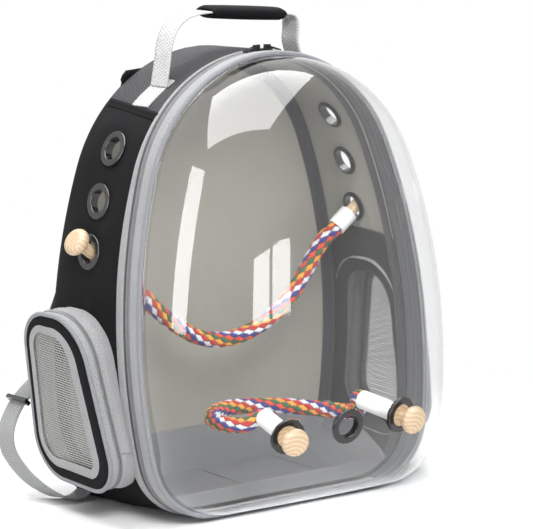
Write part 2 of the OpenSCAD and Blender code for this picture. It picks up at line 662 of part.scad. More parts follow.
tab_top = seat + web_t;
fold_r = tab_top + slack + web_t / 2;
fold = [(rim_top_r + fold_r) * cos(handle_fold_angle), arch_h + (rim_top_r + fold_r) * sin(handle_fold_angle)];
strap_lean = 5;
strap_v = handle_strap_l * [sin(strap_lean), cos(strap_lean)];
core_z = fold[1] + strap_v[1] + web_t / 2 + slack;
module handle_tabs() color("white") for (s = [-1, 1]) intersection() {
  rim_ring(seat, tab_top, handle_depth - handle_web_w / 2, handle_depth + handle_web_w / 2);
  side_half(s);
  sector(seam_angle, 180 - seam_angle);
  difference() {
    middle(far);
    sector(handle_fold_angle + 4, 176 - handle_fold_angle);
  }
}
module across(w) translate([0, 0, -handle_depth - w / 2]) linear_extrude(w) children();
module handle_strap(s) color("white") rim_frame() across(handle_web_w) {
  translate([s * fold[0], fold[1]]) {
    circle(d = web_t, $fn = 24);
    translate(strap_v) circle(d = web_t, $fn = 24);
    rotate(-strap_lean) translate([-web_t / 2, 0]) square([web_t, handle_strap_l]);
  }
}
core_x0 = -fold[0] + strap_v[0];
core_x1 = fold[0] + strap_v[0];
module handle_core() color("white") rim_frame() across(handle_web_w)
  translate([core_x0 - 4, core_z]) square([core_x1 - core_x0 + 8, web_t]);
grip_x = (core_x0 + core_x1) / 2 + 9;
module handle_grip() color(black) rim_frame()
  translate([grip_x - grip_l / 2, core_z + web_t / 2, -handle_depth]) rotate([0, 90, 0])
    linear_extrude(grip_l) difference() {
      union() {
        square([handle_web_w - 8, grip_t], center = true);
        for (s = [-1, 1]) translate([s * (handle_web_w / 2 - 4), 0]) circle(d = grip_t, $fn = 32);
      }
      square([handle_web_w + 2 * seat, web_t + 2 * seat], center = true);
    }

// ---- Back pad and shoulder straps ----

pad_y0 = back_depth + seat;
// A crowned cushion with two upright channels, over the outline of the back drawn in by 24.
function back_pad_h(u, v) = 9 * pow(max(0, 1 - pow(abs(u), 4)), 0.5) * pow(max(0, 1 - pow(abs(v), 4)), 0.5)
  * (1 - 0.45 * exp(-pow((abs(u) - 0.36) / 0.07, 2)));
pad_cols = [-1, -0.97, -0.9, -0.75, -0.6, -0.47, -0.42, -0.36, -0.3, -0.25, -0.12, 0, 0.12, 0.25, 0.3,
  0.36, 0.42, 0.47, 0.6, 0.75, 0.9, 0.97, 1];
pad_rows = [-1, -0.97, -0.88, -0.7, -0.45, -0.15, 0.15, 0.45, 0.7, 0.88, 0.97, 1];
function back_half(z) = rim_x(min(rim_h - 2, max(rim_corner_r, z)));
module back_pad() color(dark_gray) {
  z0 = 70;
  z1 = 330;
  nu = len(pad_cols);
  nv = len(pad_rows);
  front = [for (v = pad_rows, u = pad_cols) let(z = (z0 + z1) / 2 + v * (z1 - z0) / 2)
    [u * (min(back_half(z + 10), rim_half_w) - 26), pad_y0 + 2 + back_pad_h(u, v), z]];
  rear = [for (v = pad_rows, u = pad_cols) let(z = (z0 + z1) / 2 + v * (z1 - z0) / 2)
    [u * (min(back_half(z + 10), rim_half_w) - 26), pad_y0, z]];
  k = nu * nv;
  edge = concat([for (i = [0:nu - 2]) i], [for (j = [0:nv - 2]) j * nu + nu - 1],
    [for (i = [nu - 1:-1:1]) (nv - 1) * nu + i], [for (j = [nv - 1:-1:1]) j * nu]);
  faces = concat(
    [for (j = [0:nv - 2], i = [0:nu - 2]) [j * nu + i, (j + 1) * nu + i, j * nu + i + 1]],
    [for (j = [0:nv - 2], i = [0:nu - 2]) [j * nu + i + 1, (j + 1) * nu + i, (j + 1) * nu + i + 1]],
    [for (j = [0:nv - 2], i = [0:nu - 2]) [k + j * nu + i, k + j * nu + i + 1, k + (j + 1) * nu + i]],
    [for (j = [0:nv - 2], i = [0:nu - 2])
      [k + j * nu + i + 1, k + (j + 1) * nu + i + 1, k + (j + 1) * nu + i]],
    [for (e = [0:len(edge) - 1]) let(a = edge[e], b = edge[(e + 1) % len(edge)]) [a, b, k + a]],
    [for (e = [0:len(edge) - 1]) let(a = edge[e], b = edge[(e + 1) % len(edge)]) [b, k + b, k + a]]);
  polyhedron(concat(front, rear), faces);
}
module strap_anchor() color(black) translate([0, back_depth + seat, 0]) rotate([90, 0, 0])
  mirror([0, 0, 1]) linear_extrude(3) polygon([[-74, 372], [74, 372], [84, 396], [60, 404], [-60, 404], [-84, 396]]);
// Section of a shoulder pad: flat below, crowned above, drawn in at both edges.
function pad_shape(w, t) = [[w / 2, 0], [w * 0.42, -t * 0.42], [0, -t / 2], [-w * 0.42, -t * 0.42],
  [-w / 2, 0], [-w * 0.42, t * 0.42], [-w * 0.2, t * 0.5], [0, t * 0.5], [w * 0.2, t * 0.5],
  [w * 0.42, t * 0.42]];
pad_last = len(pad_route) - 1;
pad_sections = [for (i = [0:pad_last]) let(k = i / pad_last)
  pad_shape(pad_w + (pad_end_w - pad_w) * pow(k, 2), i == 0 ? 6 : i == pad_last ? 7 : pad_t)];
module mirrored(s) mirror([s > 0 ? 1 : 0, 0, 0]) children();
module strap_pad(s) color(black) mirrored(s) skin(sweep_points(pad_route, pad_sections, [0, 1, 0]), 10);
web_shape = [[web_t / 2, -strap_web_w / 2], [-web_t / 2, -strap_web_w / 2],
  [-web_t / 2, strap_web_w / 2], [web_t / 2, strap_web_w / 2]];
web_up = [0, cos(rim_lean), -sin(rim_lean)];
pad_end = pad_route[pad_last] + 0.1 * tangent(pad_route, pad_last);
module strap_webbing(s) color(light_gray) mirrored(s)
  skin(sweep_points(concat([pad_end], web_route, [anchor_end]), [web_shape], web_up), 4);
// A ladder buckle round the webbing, square to the run that it rides on.
module strap_buckles() color(black) for (s = [-1, 1]) mirrored(s) {
  t = unit(web_route[2] - web_route[1]);
  x = unit(cross(t, web_up));
  y = cross(x, t);
  c = (web_route[1] + web_route[2]) / 2;
  multmatrix([[x[0], y[0], -t[0], c[0]], [x[1], y[1], -t[1], c[1]], [x[2], y[2], -t[2], c[2]]])
    difference() {
      cube([7, strap_web_w + 9, 4], center = true);
      cube([web_t + 2 * slack, strap_web_w + 1.4, 5], center = true);
    }
}
// The webbing is sewn into the lower back corner through a tab that wraps the corner.
anchor_a = -46;
anchor_depth = 146;
anchor_r = 2 * seat + cloth_t;
anchor_end = world([-corner_x - (rim_corner_r + anchor_r + 0.8) * cos(anchor_a),
                    rim_corner_r + (rim_corner_r + anchor_r + 0.8) * sin(anchor_a), -anchor_depth]);
module strap_tabs() color(black) for (s = [-1, 1]) mirrored(s) intersection() {
  rim_ring(seat, seat + cloth_t, anchor_depth - 17, far);
  translate([-152, -far, 0.2]) cube([24, far + back_depth, 22]);
}

place() back_panel();
place() side_panel(-1);  // side_panel_left
place() side_panel(1);  // side_panel_right
place() top_panel();
place() base_panel();
place() back_lining();
place() side_lining(-1);  // side_lining_left
place() side_lining(1);  // side_lining_right
place() top_lining();
place() inner_net(-1);  // inner_net_left
place() inner_net(1);  // inner_net_right
place() inner_bindings();
place() rim_binding();
place() shell_zip();
place() floor_tray();
place() side_eyelets();
place() side_washers();
place() back_pad();
place() strap_anchor();
place() strap_pad(-1);  // strap_pad_left
place() strap_pad(1);  // strap_pad_right
place() strap_webbing(-1);  // strap_webbing_left
place() strap_webbing(1);  // strap_webbing_right
place() strap_buckles();
place() strap_tabs();
place() handle_tabs();
place() side_perch_rope();
place() side_perch_ferrules();
place() side_knob(-1);  // side_knob_left
place() side_knob(1);  // side_knob_right
place() cover_dome();
place() cover_piping();
place() cover_band();
place() cover_zip();
place() cover_facing();
place() front_eyelets();
place() front_washers();
place() front_perch_rope();
place() front_perch_ferrules();
place() front_knob(-1);  // front_knob_left
place() front_knob(1);  // front_knob_right
place() zip_slider(0);  // zip_slider_left
place() zip_slider(1);  // zip_slider_right
place() zip_pull(0);  // zip_pull_left
place() zip_pull(1);  // zip_pull_right
place() handle_strap(-1);  // handle_strap_left
place() handle_strap(1);  // handle_strap_right
place() handle_core();
place() handle_grip();
place() pocket_wall(-1);  // pocket_wall_left
place() pocket_wall(1);  // pocket_wall_right
place() pocket_face(-1);  // pocket_face_left
place() pocket_face(1);  // pocket_face_right
place() pocket_trim(-1);  // pocket_trim_left
place() pocket_trim(1);  // pocket_trim_right
place() pocket_piping(-1);  // pocket_piping_left
place() pocket_piping(1);  // pocket_piping_right
place() pocket_net(-1);  // pocket_net_left
place() pocket_net(1);  // pocket_net_right
place() pocket_sliders();
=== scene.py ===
# %% [markdown]
# # A bird travel carrier
# The carrier is a backpack with a clear domed front. Its hard pieces, such as eyelets, knobs and zip
# sliders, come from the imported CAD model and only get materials. Its soft pieces, such as cloth,
# nets, tapes, ropes and pads, are built here, because a cloth has bulges and weave that a plain
# solid has not. This first cell loads the CAD model and keeps its size.

import math

import bmesh
import bpy
from mathutils import Matrix, Vector, noise

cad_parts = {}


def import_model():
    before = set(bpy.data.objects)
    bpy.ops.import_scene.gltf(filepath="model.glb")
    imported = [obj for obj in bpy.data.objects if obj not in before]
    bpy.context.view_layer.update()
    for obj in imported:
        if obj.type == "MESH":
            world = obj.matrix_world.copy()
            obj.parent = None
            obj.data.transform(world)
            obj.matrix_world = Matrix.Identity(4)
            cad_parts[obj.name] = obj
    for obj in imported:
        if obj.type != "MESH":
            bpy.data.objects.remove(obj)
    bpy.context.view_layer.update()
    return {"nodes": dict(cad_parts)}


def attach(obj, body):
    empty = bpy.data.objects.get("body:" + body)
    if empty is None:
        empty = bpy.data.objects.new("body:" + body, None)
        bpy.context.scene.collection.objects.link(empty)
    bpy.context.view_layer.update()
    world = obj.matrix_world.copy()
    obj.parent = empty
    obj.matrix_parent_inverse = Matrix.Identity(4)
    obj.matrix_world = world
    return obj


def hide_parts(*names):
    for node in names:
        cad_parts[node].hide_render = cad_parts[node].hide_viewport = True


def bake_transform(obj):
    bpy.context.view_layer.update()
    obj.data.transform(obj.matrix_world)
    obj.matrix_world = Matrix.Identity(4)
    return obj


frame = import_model()
scene = bpy.context.scene
MM = 0.001
FOOT = Vector((0, 95, 0))

# %% [markdown]
# ## Camera
# The photograph was taken from far away, a little above and to the left of the front, so a long
# lens at ten metres shows the carrier with almost no perspective. The numbers come from matching
# the rim, the eyelets and the back edge.

# %% Camera
azimuth, elevation, roll = math.radians(-35.91), math.radians(13.527), math.radians(-0.5475)
back = Vector((math.sin(azimuth) * math.cos(elevation), -math.cos(azimuth) * math.cos(elevation),
               math.sin(elevation)))
pixels_per_mm = 1.0596
PHOTO_W, PHOTO_H, SENSOR_MM, CAMERA_FAR = 533, 529, 36, 10
AIM_PX, AIM_H = (292.89, 282.34), 217
camera = bpy.data.objects.new("photo_camera", bpy.data.cameras.new("photo_camera"))
camera.data.sensor_width = SENSOR_MM
camera.data.lens = pixels_per_mm * CAMERA_FAR * 1000 * SENSOR_MM / PHOTO_W
camera.data.clip_start, camera.data.clip_end = 0.5, 60
turn = back.to_track_quat("Z", "Y").to_matrix() @ Matrix.Rotation(roll, 3, "Z")
right, up = turn.col[0], turn.col[1]
seen_at = Vector((AIM_PX[0] - PHOTO_W / 2, PHOTO_H / 2 - AIM_PX[1])) / pixels_per_mm * MM
aim = Vector((0, 0, AIM_H)) * MM - FOOT * MM - right * seen_at.x - up * seen_at.y
camera.location = aim + back * CAMERA_FAR
camera.rotation_mode = "QUATERNION"
camera.rotation_quaternion = turn.to_quaternion()
scene.collection.objects.link(camera)
scene.camera = camera
print("camera at", [round(c, 2) for c in camera.location])

# %% [markdown]
# ## The outline of the front rim
# Every band, tape, piping and panel follows one egg-shaped outline: a straight base, two tight
# corners, two long side arcs and an arch. The helper below walks along it and gives a point and
# its outward direction, and another one turns a point of the leaning rim plane into the room. All
# sizes are in millimetres from the foot of the rim, which is FOOT behind the model's own origin.

# %% Rim outline
HALF_W, RIM_H, MID_H, TOP_R, CORNER_R = 166.0, 427.0, 146.0, 143.0, 66.0
LEAN, LIFT = math.radians(6), 5.0
ARCH_H = RIM_H - TOP_R
RISE = ARCH_H - MID_H
SIDE_R = (HALF_W**2 + RISE**2 - TOP_R**2) / (2 * (HALF_W - TOP_R))
SIDE_X = HALF_W - SIDE_R
CORNER_X = SIDE_X + math.sqrt((SIDE_R - CORNER_R) ** 2 - (MID_H - CORNER_R) ** 2)
LOW_A = math.atan2(CORNER_R - MID_H, CORNER_X - SIDE_X)
TOP_A = math.atan2(RISE, -SIDE_X)
CORNER_L, SIDE_L = CORNER_R * (LOW_A + math.pi / 2), SIDE_R * (TOP_A - LOW_A)
SIDE_S = CORNER_X + CORNER_L
ARCH_S = SIDE_S + SIDE_L
HALF_L = ARCH_S + TOP_R * (math.pi / 2 - TOP_A)
SIDE_FROM, ARCH_FROM = CORNER_R + CORNER_R * math.sin(LOW_A), ARCH_H + TOP_R * math.sin(TOP_A)
SIDES = ((-1, "left"), (1, "right"))


def rim_at(s):
    """Across, height and outward direction at s mm along the rim, from the middle of its base."""
    s = (s + HALF_L) % (2 * HALF_L) - HALF_L
    sign, s = (1, s) if s >= 0 else (-1, -s)
    if s < CORNER_X:
        return sign * s, 0.0, 0.0, -1.0
    s -= CORNER_X
    if s < CORNER_L:
        a, c, r = -math.pi / 2 + s / CORNER_R, (CORNER_X, CORNER_R), CORNER_R
    elif s < CORNER_L + SIDE_L:
        a, c, r = LOW_A + (s - CORNER_L) / SIDE_R, (SIDE_X, MID_H), SIDE_R
    else:
        a, c, r = TOP_A + (s - CORNER_L - SIDE_L) / TOP_R, (0, ARCH_H), TOP_R
    return sign * (c[0] + r * math.cos(a)), c[1] + r * math.sin(a), sign * math.cos(a), math.sin(a)


def world(across, height, out):
    """A point of the leaning rim plane, and out in front of it, as a point of the room."""
    return Vector((across, -out * math.cos(LEAN) + height * math.sin(LEAN),
                   LIFT + height * math.cos(LEAN) + out * math.sin(LEAN)))


def direction(across, height, out):
    """The same for a direction: it leans with the rim but stays where it is."""
    return world(across, height, out) - world(0, 0, 0)


def rim_width(z, y):
    """Half of the carrier's width at a height z on the plane y."""
    h = (z - LIFT) * math.cos(LEAN) + y * math.sin(LEAN)
    if h > ARCH_FROM:
        return math.sqrt(max(0, TOP_R**2 - (h - ARCH_H) ** 2))
    if h > SIDE_FROM:
        return SIDE_X + math.sqrt(SIDE_R**2 - (h - MID_H) ** 2)
    return CORNER_X + math.sqrt(max(0, CORNER_R**2 - (CORNER_R - h) ** 2))


def rim_s(h):
    """How far along the rim, from the middle of its base, the height h is reached."""
    if h > ARCH_FROM:
        return ARCH_S + TOP_R * (math.asin(min(1, (h - ARCH_H) / TOP_R)) - TOP_A)
    if h > SIDE_FROM:
        return SIDE_S + SIDE_R * (math.asin((h - MID_H) / SIDE_R) - LOW_A)
    return CORNER_X + CORNER_R * (math.asin(max(-1, (h - CORNER_R) / CORNER_R)) + math.pi / 2)


def from_base(s):
    """How far s lies from the middle of the base, on either side."""
    return abs((s + HALF_L) % (2 * HALF_L) - HALF_L)


def arch_s(degrees):
    """The place on the arch at an angle above its centre."""
    return ARCH_S + TOP_R * (math.radians(degrees) - TOP_A)


def back_depth_at(h, y):
    """Depth behind the rim plane at which a point of height h reaches the plane y."""
    return (y - h * math.sin(LEAN)) / math.cos(LEAN)


SEAM_A, SEAM_CLIMB, SEAM_FRONT, SEAM_RUN = 43, 4.5, 27, 93


def seam_at(depth):
    """Where the seam between side and top lies: it climbs a little towards the back."""
    return arch_s(SEAM_A + SEAM_CLIMB * (depth - SEAM_FRONT) / SEAM_RUN)


SEAM_BASE = CORNER_X + 3
print("rim length", round(2 * HALF_L), "mm; top seam at", round(seam_at(SEAM_FRONT)), "mm")

# %% [markdown]
# ## One helper for cloth
# A woven strip or panel is a flat grid until it is sewn. So each soft piece starts as a bmesh grid,
# gets a UV map in metres of cloth, and every vertex then moves to its sewn place. Faces inside a
# hole are taken out and the rim of the hole is pulled onto its true outline. A Solidify modifier
# gives the cloth its thickness.

# %% Cloth helper
def make_object(name, bm, material, body, thick=0.0):
    """The finished piece: moved from the rim's foot to the origin, in metres, riding on its body."""
    bmesh.ops.translate(bm, vec=-FOOT, verts=bm.verts)
    bmesh.ops.scale(bm, vec=(MM, MM, MM), verts=bm.verts)
    mesh = bpy.data.meshes.new(name)
    bm.to_mesh(mesh)
    bm.free()
    mesh.materials.append(material)
    for face in mesh.polygons:
        face.use_smooth = True
    obj = bpy.data.objects.new(name, mesh)
    scene.collection.objects.link(obj)
    if thick:
        wall = obj.modifiers.new("thickness", "SOLIDIFY")
        wall.thickness, wall.offset = thick * MM, 0
    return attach(obj, body) if body else obj


def cloth(name, steps, place, size, material, body, thick=0.0, holes=()):
    """A grid of steps = (along, across) faces. place(u, v) gives a point in mm; size is in metres."""
    bm = bmesh.new()
    uv = bm.loops.layers.uv.new("UVMap")
    bmesh.ops.create_grid(bm, x_segments=steps[0], y_segments=steps[1], size=0.5)
    for face in bm.faces:
        for loop in face.loops:
            loop[uv].uv = ((loop.vert.co.x + 0.5) * size[0], (loop.vert.co.y + 0.5) * size[1])
    for vert in bm.verts:
        vert.co = place(vert.co.x + 0.5, vert.co.y + 0.5)
    for hole in holes:
        gone = [f for f in bm.faces if hole(f.calc_center_median())[0] < 0]
        bmesh.ops.delete(bm, geom=gone, context="FACES")
        for _ in range(3):
            for vert in bm.verts:
                if vert.is_boundary:
                    distance, direction = hole(vert.co)
                    if abs(distance) < 7:
                        vert.co -= direction * distance
    bmesh.ops.remove_doubles(bm, verts=bm.verts, dist=0.02)
    bmesh.ops.recalc_face_normals(bm, faces=bm.faces)
    return make_object(name, bm, material, body, thick)


print("cloth helper ready: grid, holes, UV in metres, thickness")

# %% [markdown]
# ## Helpers for materials
# Each material is a Principled shader fed by a few nodes. The weave is a group, used by many cloths
# with their own colours and sizes: it reads the UV map, which is in metres of cloth, and gives a
# colour, a roughness and a height for a Bump node.

# %% Node helpers
def add(tree, kind, inputs=None, **settings):
    """A new node; inputs maps a socket's name or number to a value or to another node's output."""
    node = tree.nodes.new(kind)
    for key, value in settings.items():
        setattr(node, key, value)
    for key, value in (inputs or {}).items():
        if isinstance(value, bpy.types.NodeSocket):
            tree.links.new(value, node.inputs[key])
        else:
            node.inputs[key].default_value = value
    return node


def math_node(tree, operation, a, b=0.0, c=0.0):
    return add(tree, "ShaderNodeMath", {0: a, 1: b, 2: c}, operation=operation).outputs[0]


def maths(tree):
    """A shorthand: op("ADD", a, b) is a Math node's output in this tree."""
    return lambda operation, *values: math_node(tree, operation, *values)


def mix(tree, factor, a, b):
    node = add(tree, "ShaderNodeMix", {0: factor}, data_type="RGBA")
    for socket, value in ((node.inputs[6], a), (node.inputs[7], b)):
        if isinstance(value, bpy.types.NodeSocket):
            tree.links.new(value, socket)
        else:
            socket.default_value = value
    return node.outputs[2]


def relief(tree, shader, height, strength, distance):
    """A Bump node from a height to the shader's normal."""
    bump = add(tree, "ShaderNodeBump", {"Height": height, "Strength": strength, "Distance": distance})
    tree.links.new(bump.outputs[0], shader.inputs["Normal"])


def noise_at(tree, where, scale, detail=2.0):
    """A noise texture's value at a place."""
    return add(tree, "ShaderNodeTexNoise", {"Vector": where, "Scale": scale,
            "Detail": detail}).outputs[0]


def new_group(name, inputs, outputs):
    group = bpy.data.node_groups.new(name, "ShaderNodeTree")
    for label, kind, value in inputs:
        socket = group.interface.new_socket(label, in_out="INPUT", socket_type=kind)
        if value is not None:
            socket.default_value = value
    for label, kind in outputs:
        group.interface.new_socket(label, in_out="OUTPUT", socket_type=kind)
    return group, add(group, "NodeGroupInput").outputs, add(group, "NodeGroupOutput").inputs


def seen_rays(tree):
    """1 for camera, glossy and transmission rays, and 0 for all others."""
    paths = add(tree, "ShaderNodeLightPath").outputs
    mirrored = math_node(tree, "MAXIMUM", paths["Is Glossy Ray"], paths["Is Transmission Ray"])
    return math_node(tree, "MAXIMUM", paths["Is Camera Ray"], mirrored)


def new_material(name, roughness=0.6, **values):
    """A material with one Principled shader; values are plain numbers on its own sockets."""
    material = bpy.data.materials.new(name)
    material.use_nodes = True
    shader = material.node_tree.nodes["Principled BSDF"]
    shader.inputs["Roughness"].default_value = roughness
    for key, value in values.items():
        shader.inputs[key.replace("_", " ")].default_value = value
    return material, material.node_tree, shader


print("node helpers ready")

# %% [markdown]
# ### The weave
# Cloth is threads passing over and under each other. Two crossed sine waves give that pattern, a
# fine noise the mixed yarns of a melange, and a broad one keeps a large panel from looking flat.

# %% Weave group
weave, w_in, w_out = new_group("weave", [("Thread", "NodeSocketFloat", 0.0008),
        ("Ribs", "NodeSocketFloat", 1.0), ("Dark", "NodeSocketColor", (0.1, 0.1, 0.1, 1)),
        ("Light", "NodeSocketColor", (0.5, 0.5, 0.5, 1)), ("Melange", "NodeSocketFloat", 0.5),
        ("Roughness", "NodeSocketFloat", 0.8)], [("Color", "NodeSocketColor"),
        ("Roughness", "NodeSocketFloat"), ("Height", "NodeSocketFloat")])
op = maths(weave)
uv_in = add(weave, "ShaderNodeUVMap", uv_map="UVMap").outputs[0]
split = add(weave, "ShaderNodeSeparateXYZ", {0: uv_in})
across = op("DIVIDE", split.outputs[0], w_in["Thread"])
along = op("DIVIDE", op("MULTIPLY", split.outputs[1], w_in["Ribs"]), w_in["Thread"])
wave_a = op("SINE", op("MULTIPLY", across, math.pi))
wave_b = op("SINE", op("MULTIPLY", along, math.pi))
over = op("MULTIPLY", wave_a, wave_b)
thread = op("MULTIPLY_ADD", over, 0.5, 0.5)
fleck = noise_at(weave, uv_in, 900.0)
cloudy = noise_at(weave, uv_in, 35.0, 3.0)
flecked = add(weave, "ShaderNodeMapRange", {0: fleck, 1: 0.35, 2: 0.65}).outputs[0]
blend = mix(weave, w_in["Melange"], thread, flecked)
blend = op("MULTIPLY_ADD", cloudy, 0.3, op("MULTIPLY", blend, 0.8))
weave.links.new(mix(weave, blend, w_in["Dark"], w_in["Light"]), w_out["Color"])
weave.links.new(op("MULTIPLY_ADD", cloudy, 0.15, w_in["Roughness"]), w_out["Roughness"])
weave.links.new(thread, w_out["Height"])


def cloth_material(name, dark, light, thread=0.0008, ribs=1.0, melange=0.5, roughness=0.75, bump=0.3,
                   sheen=0.2, shine=0.3):
    material, tree, shader = new_material(name, Sheen_Weight=sheen, Sheen_Roughness=0.5,
            Specular_IOR_Level=shine)
    look = {"Thread": thread, "Ribs": ribs, "Dark": (*dark, 1), "Light": (*light, 1),
            "Melange": melange, "Roughness": roughness}
    group = add(tree, "ShaderNodeGroup", look, node_tree=weave)
    tree.links.new(group.outputs["Color"], shader.inputs["Base Color"])
    tree.links.new(group.outputs["Roughness"], shader.inputs["Roughness"])
    relief(tree, shader, group.outputs["Height"], bump, thread * 0.5)
    return material


black_cloth = cloth_material("black oxford cloth", (0.002, 0.002, 0.0025), (0.009, 0.009, 0.0105),
                             thread=0.0009, melange=0.3, roughness=0.6, bump=0.5, sheen=0.02,
                             shine=0.07)
top_black = cloth_material("black twill", (0.004, 0.004, 0.005), (0.05, 0.05, 0.056), thread=0.0013,
                           ribs=0.35, melange=0.15, roughness=0.6, bump=0.8, sheen=0.05, shine=0.3)
light_band = cloth_material("light melange tape", (0.16, 0.162, 0.167), (0.46, 0.462, 0.47),
                            thread=0.0012, ribs=0.6, melange=0.75)
dark_band = cloth_material("dark inner tape", (0.018, 0.018, 0.021), (0.062, 0.062, 0.07),
                           thread=0.0012, ribs=0.5, melange=0.5)
zip_tape = cloth_material("zip tape", (0.03, 0.032, 0.036), (0.1, 0.104, 0.112), thread=0.0009,
                          ribs=0.5, melange=0.5)
piping_cloth = cloth_material("gray piping", (0.13, 0.135, 0.15), (0.34, 0.35, 0.37), thread=0.0008,
                              melange=0.6)
khaki = cloth_material("khaki lining", (0.2, 0.19, 0.163), (0.34, 0.322, 0.278), thread=0.0007,
                       melange=0.5, bump=0.2)
white_web = cloth_material("white webbing", (0.38, 0.38, 0.375), (0.72, 0.72, 0.715), thread=0.0016,
                           ribs=0.5, melange=0.3, bump=0.6)
gray_web = cloth_material("gray webbing", (0.17, 0.175, 0.18), (0.42, 0.425, 0.43), thread=0.0016,
                          ribs=0.5, melange=0.6, bump=0.6)
pad_cloth = cloth_material("black pad cloth", (0.004, 0.004, 0.005), (0.03, 0.03, 0.032), thread=0.0025,
                           melange=0.2, bump=0.8, sheen=0.1)
print("cloth materials made")

# %% [markdown]
# ## Net
# A net is far finer than the CAD's few holes. Here it is one thin sheet whose alpha cuts small round
# holes in staggered rows, so that light and the things behind show through.

# %% Net material
hole_group, h_in, h_out = new_group("net holes", [("Pitch", "NodeSocketFloat", 0.003),
        ("Hole", "NodeSocketFloat", 0.35)], [("Alpha", "NodeSocketFloat"),
        ("Height", "NodeSocketFloat")] )
op = maths(hole_group)
uv_in = add(hole_group, "ShaderNodeUVMap", uv_map="UVMap").outputs[0]
split = add(hole_group, "ShaderNodeSeparateXYZ", {0: uv_in})
row = op("DIVIDE", split.outputs[1], h_in["Pitch"])
shift = op("MULTIPLY", op("MODULO", op("FLOOR", row), 2.0), 0.5)
column = op("ADD", op("DIVIDE", split.outputs[0], h_in["Pitch"]), shift)
dx = op("SUBTRACT", op("FRACT", column), 0.5)
dy = op("SUBTRACT", op("FRACT", row), 0.5)
distance = op("SQRT", op("ADD", op("MULTIPLY", dx, dx), op("MULTIPLY", dy, dy)))
hole_group.links.new(op("GREATER_THAN", distance, h_in["Hole"]), h_out["Alpha"])
hole_group.links.new(distance, h_out["Height"])


def net_material(name, color, pitch, hole):
    material, tree, shader = new_material(name, 0.6)
    shader.inputs["Base Color"].default_value = (*color, 1)
    group = add(tree, "ShaderNodeGroup", {"Pitch": pitch, "Hole": hole}, node_tree=hole_group)
    thread = add(tree, "ShaderNodeUVMap", uv_map="UVMap").outputs[0]
    speckle = noise_at(tree, thread, 400.0)
    tree.links.new(mix(tree, speckle, (color[0] * 0.7, color[1] * 0.7, color[2] * 0.7, 1), (*color, 1)),
                   shader.inputs["Base Color"])
    tree.links.new(group.outputs["Alpha"], shader.inputs["Alpha"])
    relief(tree, shader, group.outputs["Height"], 0.4, 0.0005)
    return material


pocket_net_look = net_material("silver net", (0.66, 0.66, 0.63), 0.0024, 0.42)
inner_net_look = net_material("inner net", (0.13, 0.127, 0.12), 0.0026, 0.46)

print("net materials made")

# %% [markdown]
# ## Hard materials
# Plastic, wood and metal get small surface detail: a faint cloud in the roughness, and turned rings
# and pores on the wooden knobs. One group serves all moulded pieces and another all the beech.

# %% Plastic, metal and wood
moulded, c_in, c_out = new_group("moulded surface", [("Scale", "NodeSocketFloat", 220.0),
        ("Dark", "NodeSocketColor", (0.1, 0.1, 0.1, 1)), ("Light", "NodeSocketColor",
        (0.5, 0.5, 0.5, 1)), ("Roughness", "NodeSocketFloat", 0.4)],
                                 [("Color", "NodeSocketColor"), ("Roughness", "NodeSocketFloat"),
                                  ("Height", "NodeSocketFloat")])
op = maths(moulded)
where = add(moulded, "ShaderNodeTexCoord").outputs["Object"]
cloud = noise_at(moulded, where, c_in["Scale"], 4.0)
moulded.links.new(mix(moulded, cloud, c_in["Dark"], c_in["Light"]), c_out["Color"])
moulded.links.new(op("MULTIPLY_ADD", op("SUBTRACT", cloud, 0.4), 0.14, c_in["Roughness"]),
                  c_out["Roughness"])
moulded.links.new(cloud, c_out["Height"])


def hard_material(name, color, roughness, metallic=0.0, coat=0.0, speckle=0.08, scale=220.0):
    material, tree, shader = new_material(name, roughness, Metallic=metallic, Coat_Weight=coat)
    darker = tuple(c * (1 - speckle) for c in color)
    look = {"Scale": scale, "Dark": (*darker, 1), "Light": (*color, 1), "Roughness": roughness}
    group = add(tree, "ShaderNodeGroup", look, node_tree=moulded)
    tree.links.new(group.outputs["Color"], shader.inputs["Base Color"])
    tree.links.new(group.outputs["Roughness"], shader.inputs["Roughness"])
    relief(tree, shader, group.outputs["Height"], 0.05, 0.0003)
    return material


gloss_black = hard_material("gloss black plastic", (0.012, 0.012, 0.013), 0.16, coat=0.3, speckle=0.2)
white_plastic = hard_material("white sleeve", (0.86, 0.86, 0.85), 0.35)
coil_plastic = hard_material("zip coil", (0.24, 0.243, 0.25), 0.35, speckle=0.3)
dark_metal = hard_material("dark zip metal", (0.03, 0.03, 0.032), 0.3, metallic=0.6)
tray_gray = hard_material("gray tray", (0.2, 0.2, 0.207), 0.5, speckle=0.12, scale=60.0)


beech, b_in, b_out = new_group("turned beech", [("Centred", "NodeSocketVector", None)],
                               [("Color", "NodeSocketColor"), ("Height", "NodeSocketFloat")])
op = maths(beech)
off = add(beech, "ShaderNodeMapping", {"Vector": b_in["Centred"],
        "Location": (0.006, 0.012, 0)}).outputs[0]
rings = add(beech, "ShaderNodeTexWave", {"Vector": off, "Scale": 75.0, "Distortion": 2.5,
        "Detail": 2.0}, wave_type="RINGS", rings_direction="Z").outputs[1]
pores = noise_at(beech, b_in["Centred"], 500.0, 4.0)
tone = op("MULTIPLY_ADD", rings, 0.5, op("MULTIPLY", pores, 0.5))
beech.links.new(mix(beech, tone, (0.48, 0.33, 0.19, 1), (0.74, 0.58, 0.4, 1)), b_out["Color"])
beech.links.new(pores, b_out["Height"])


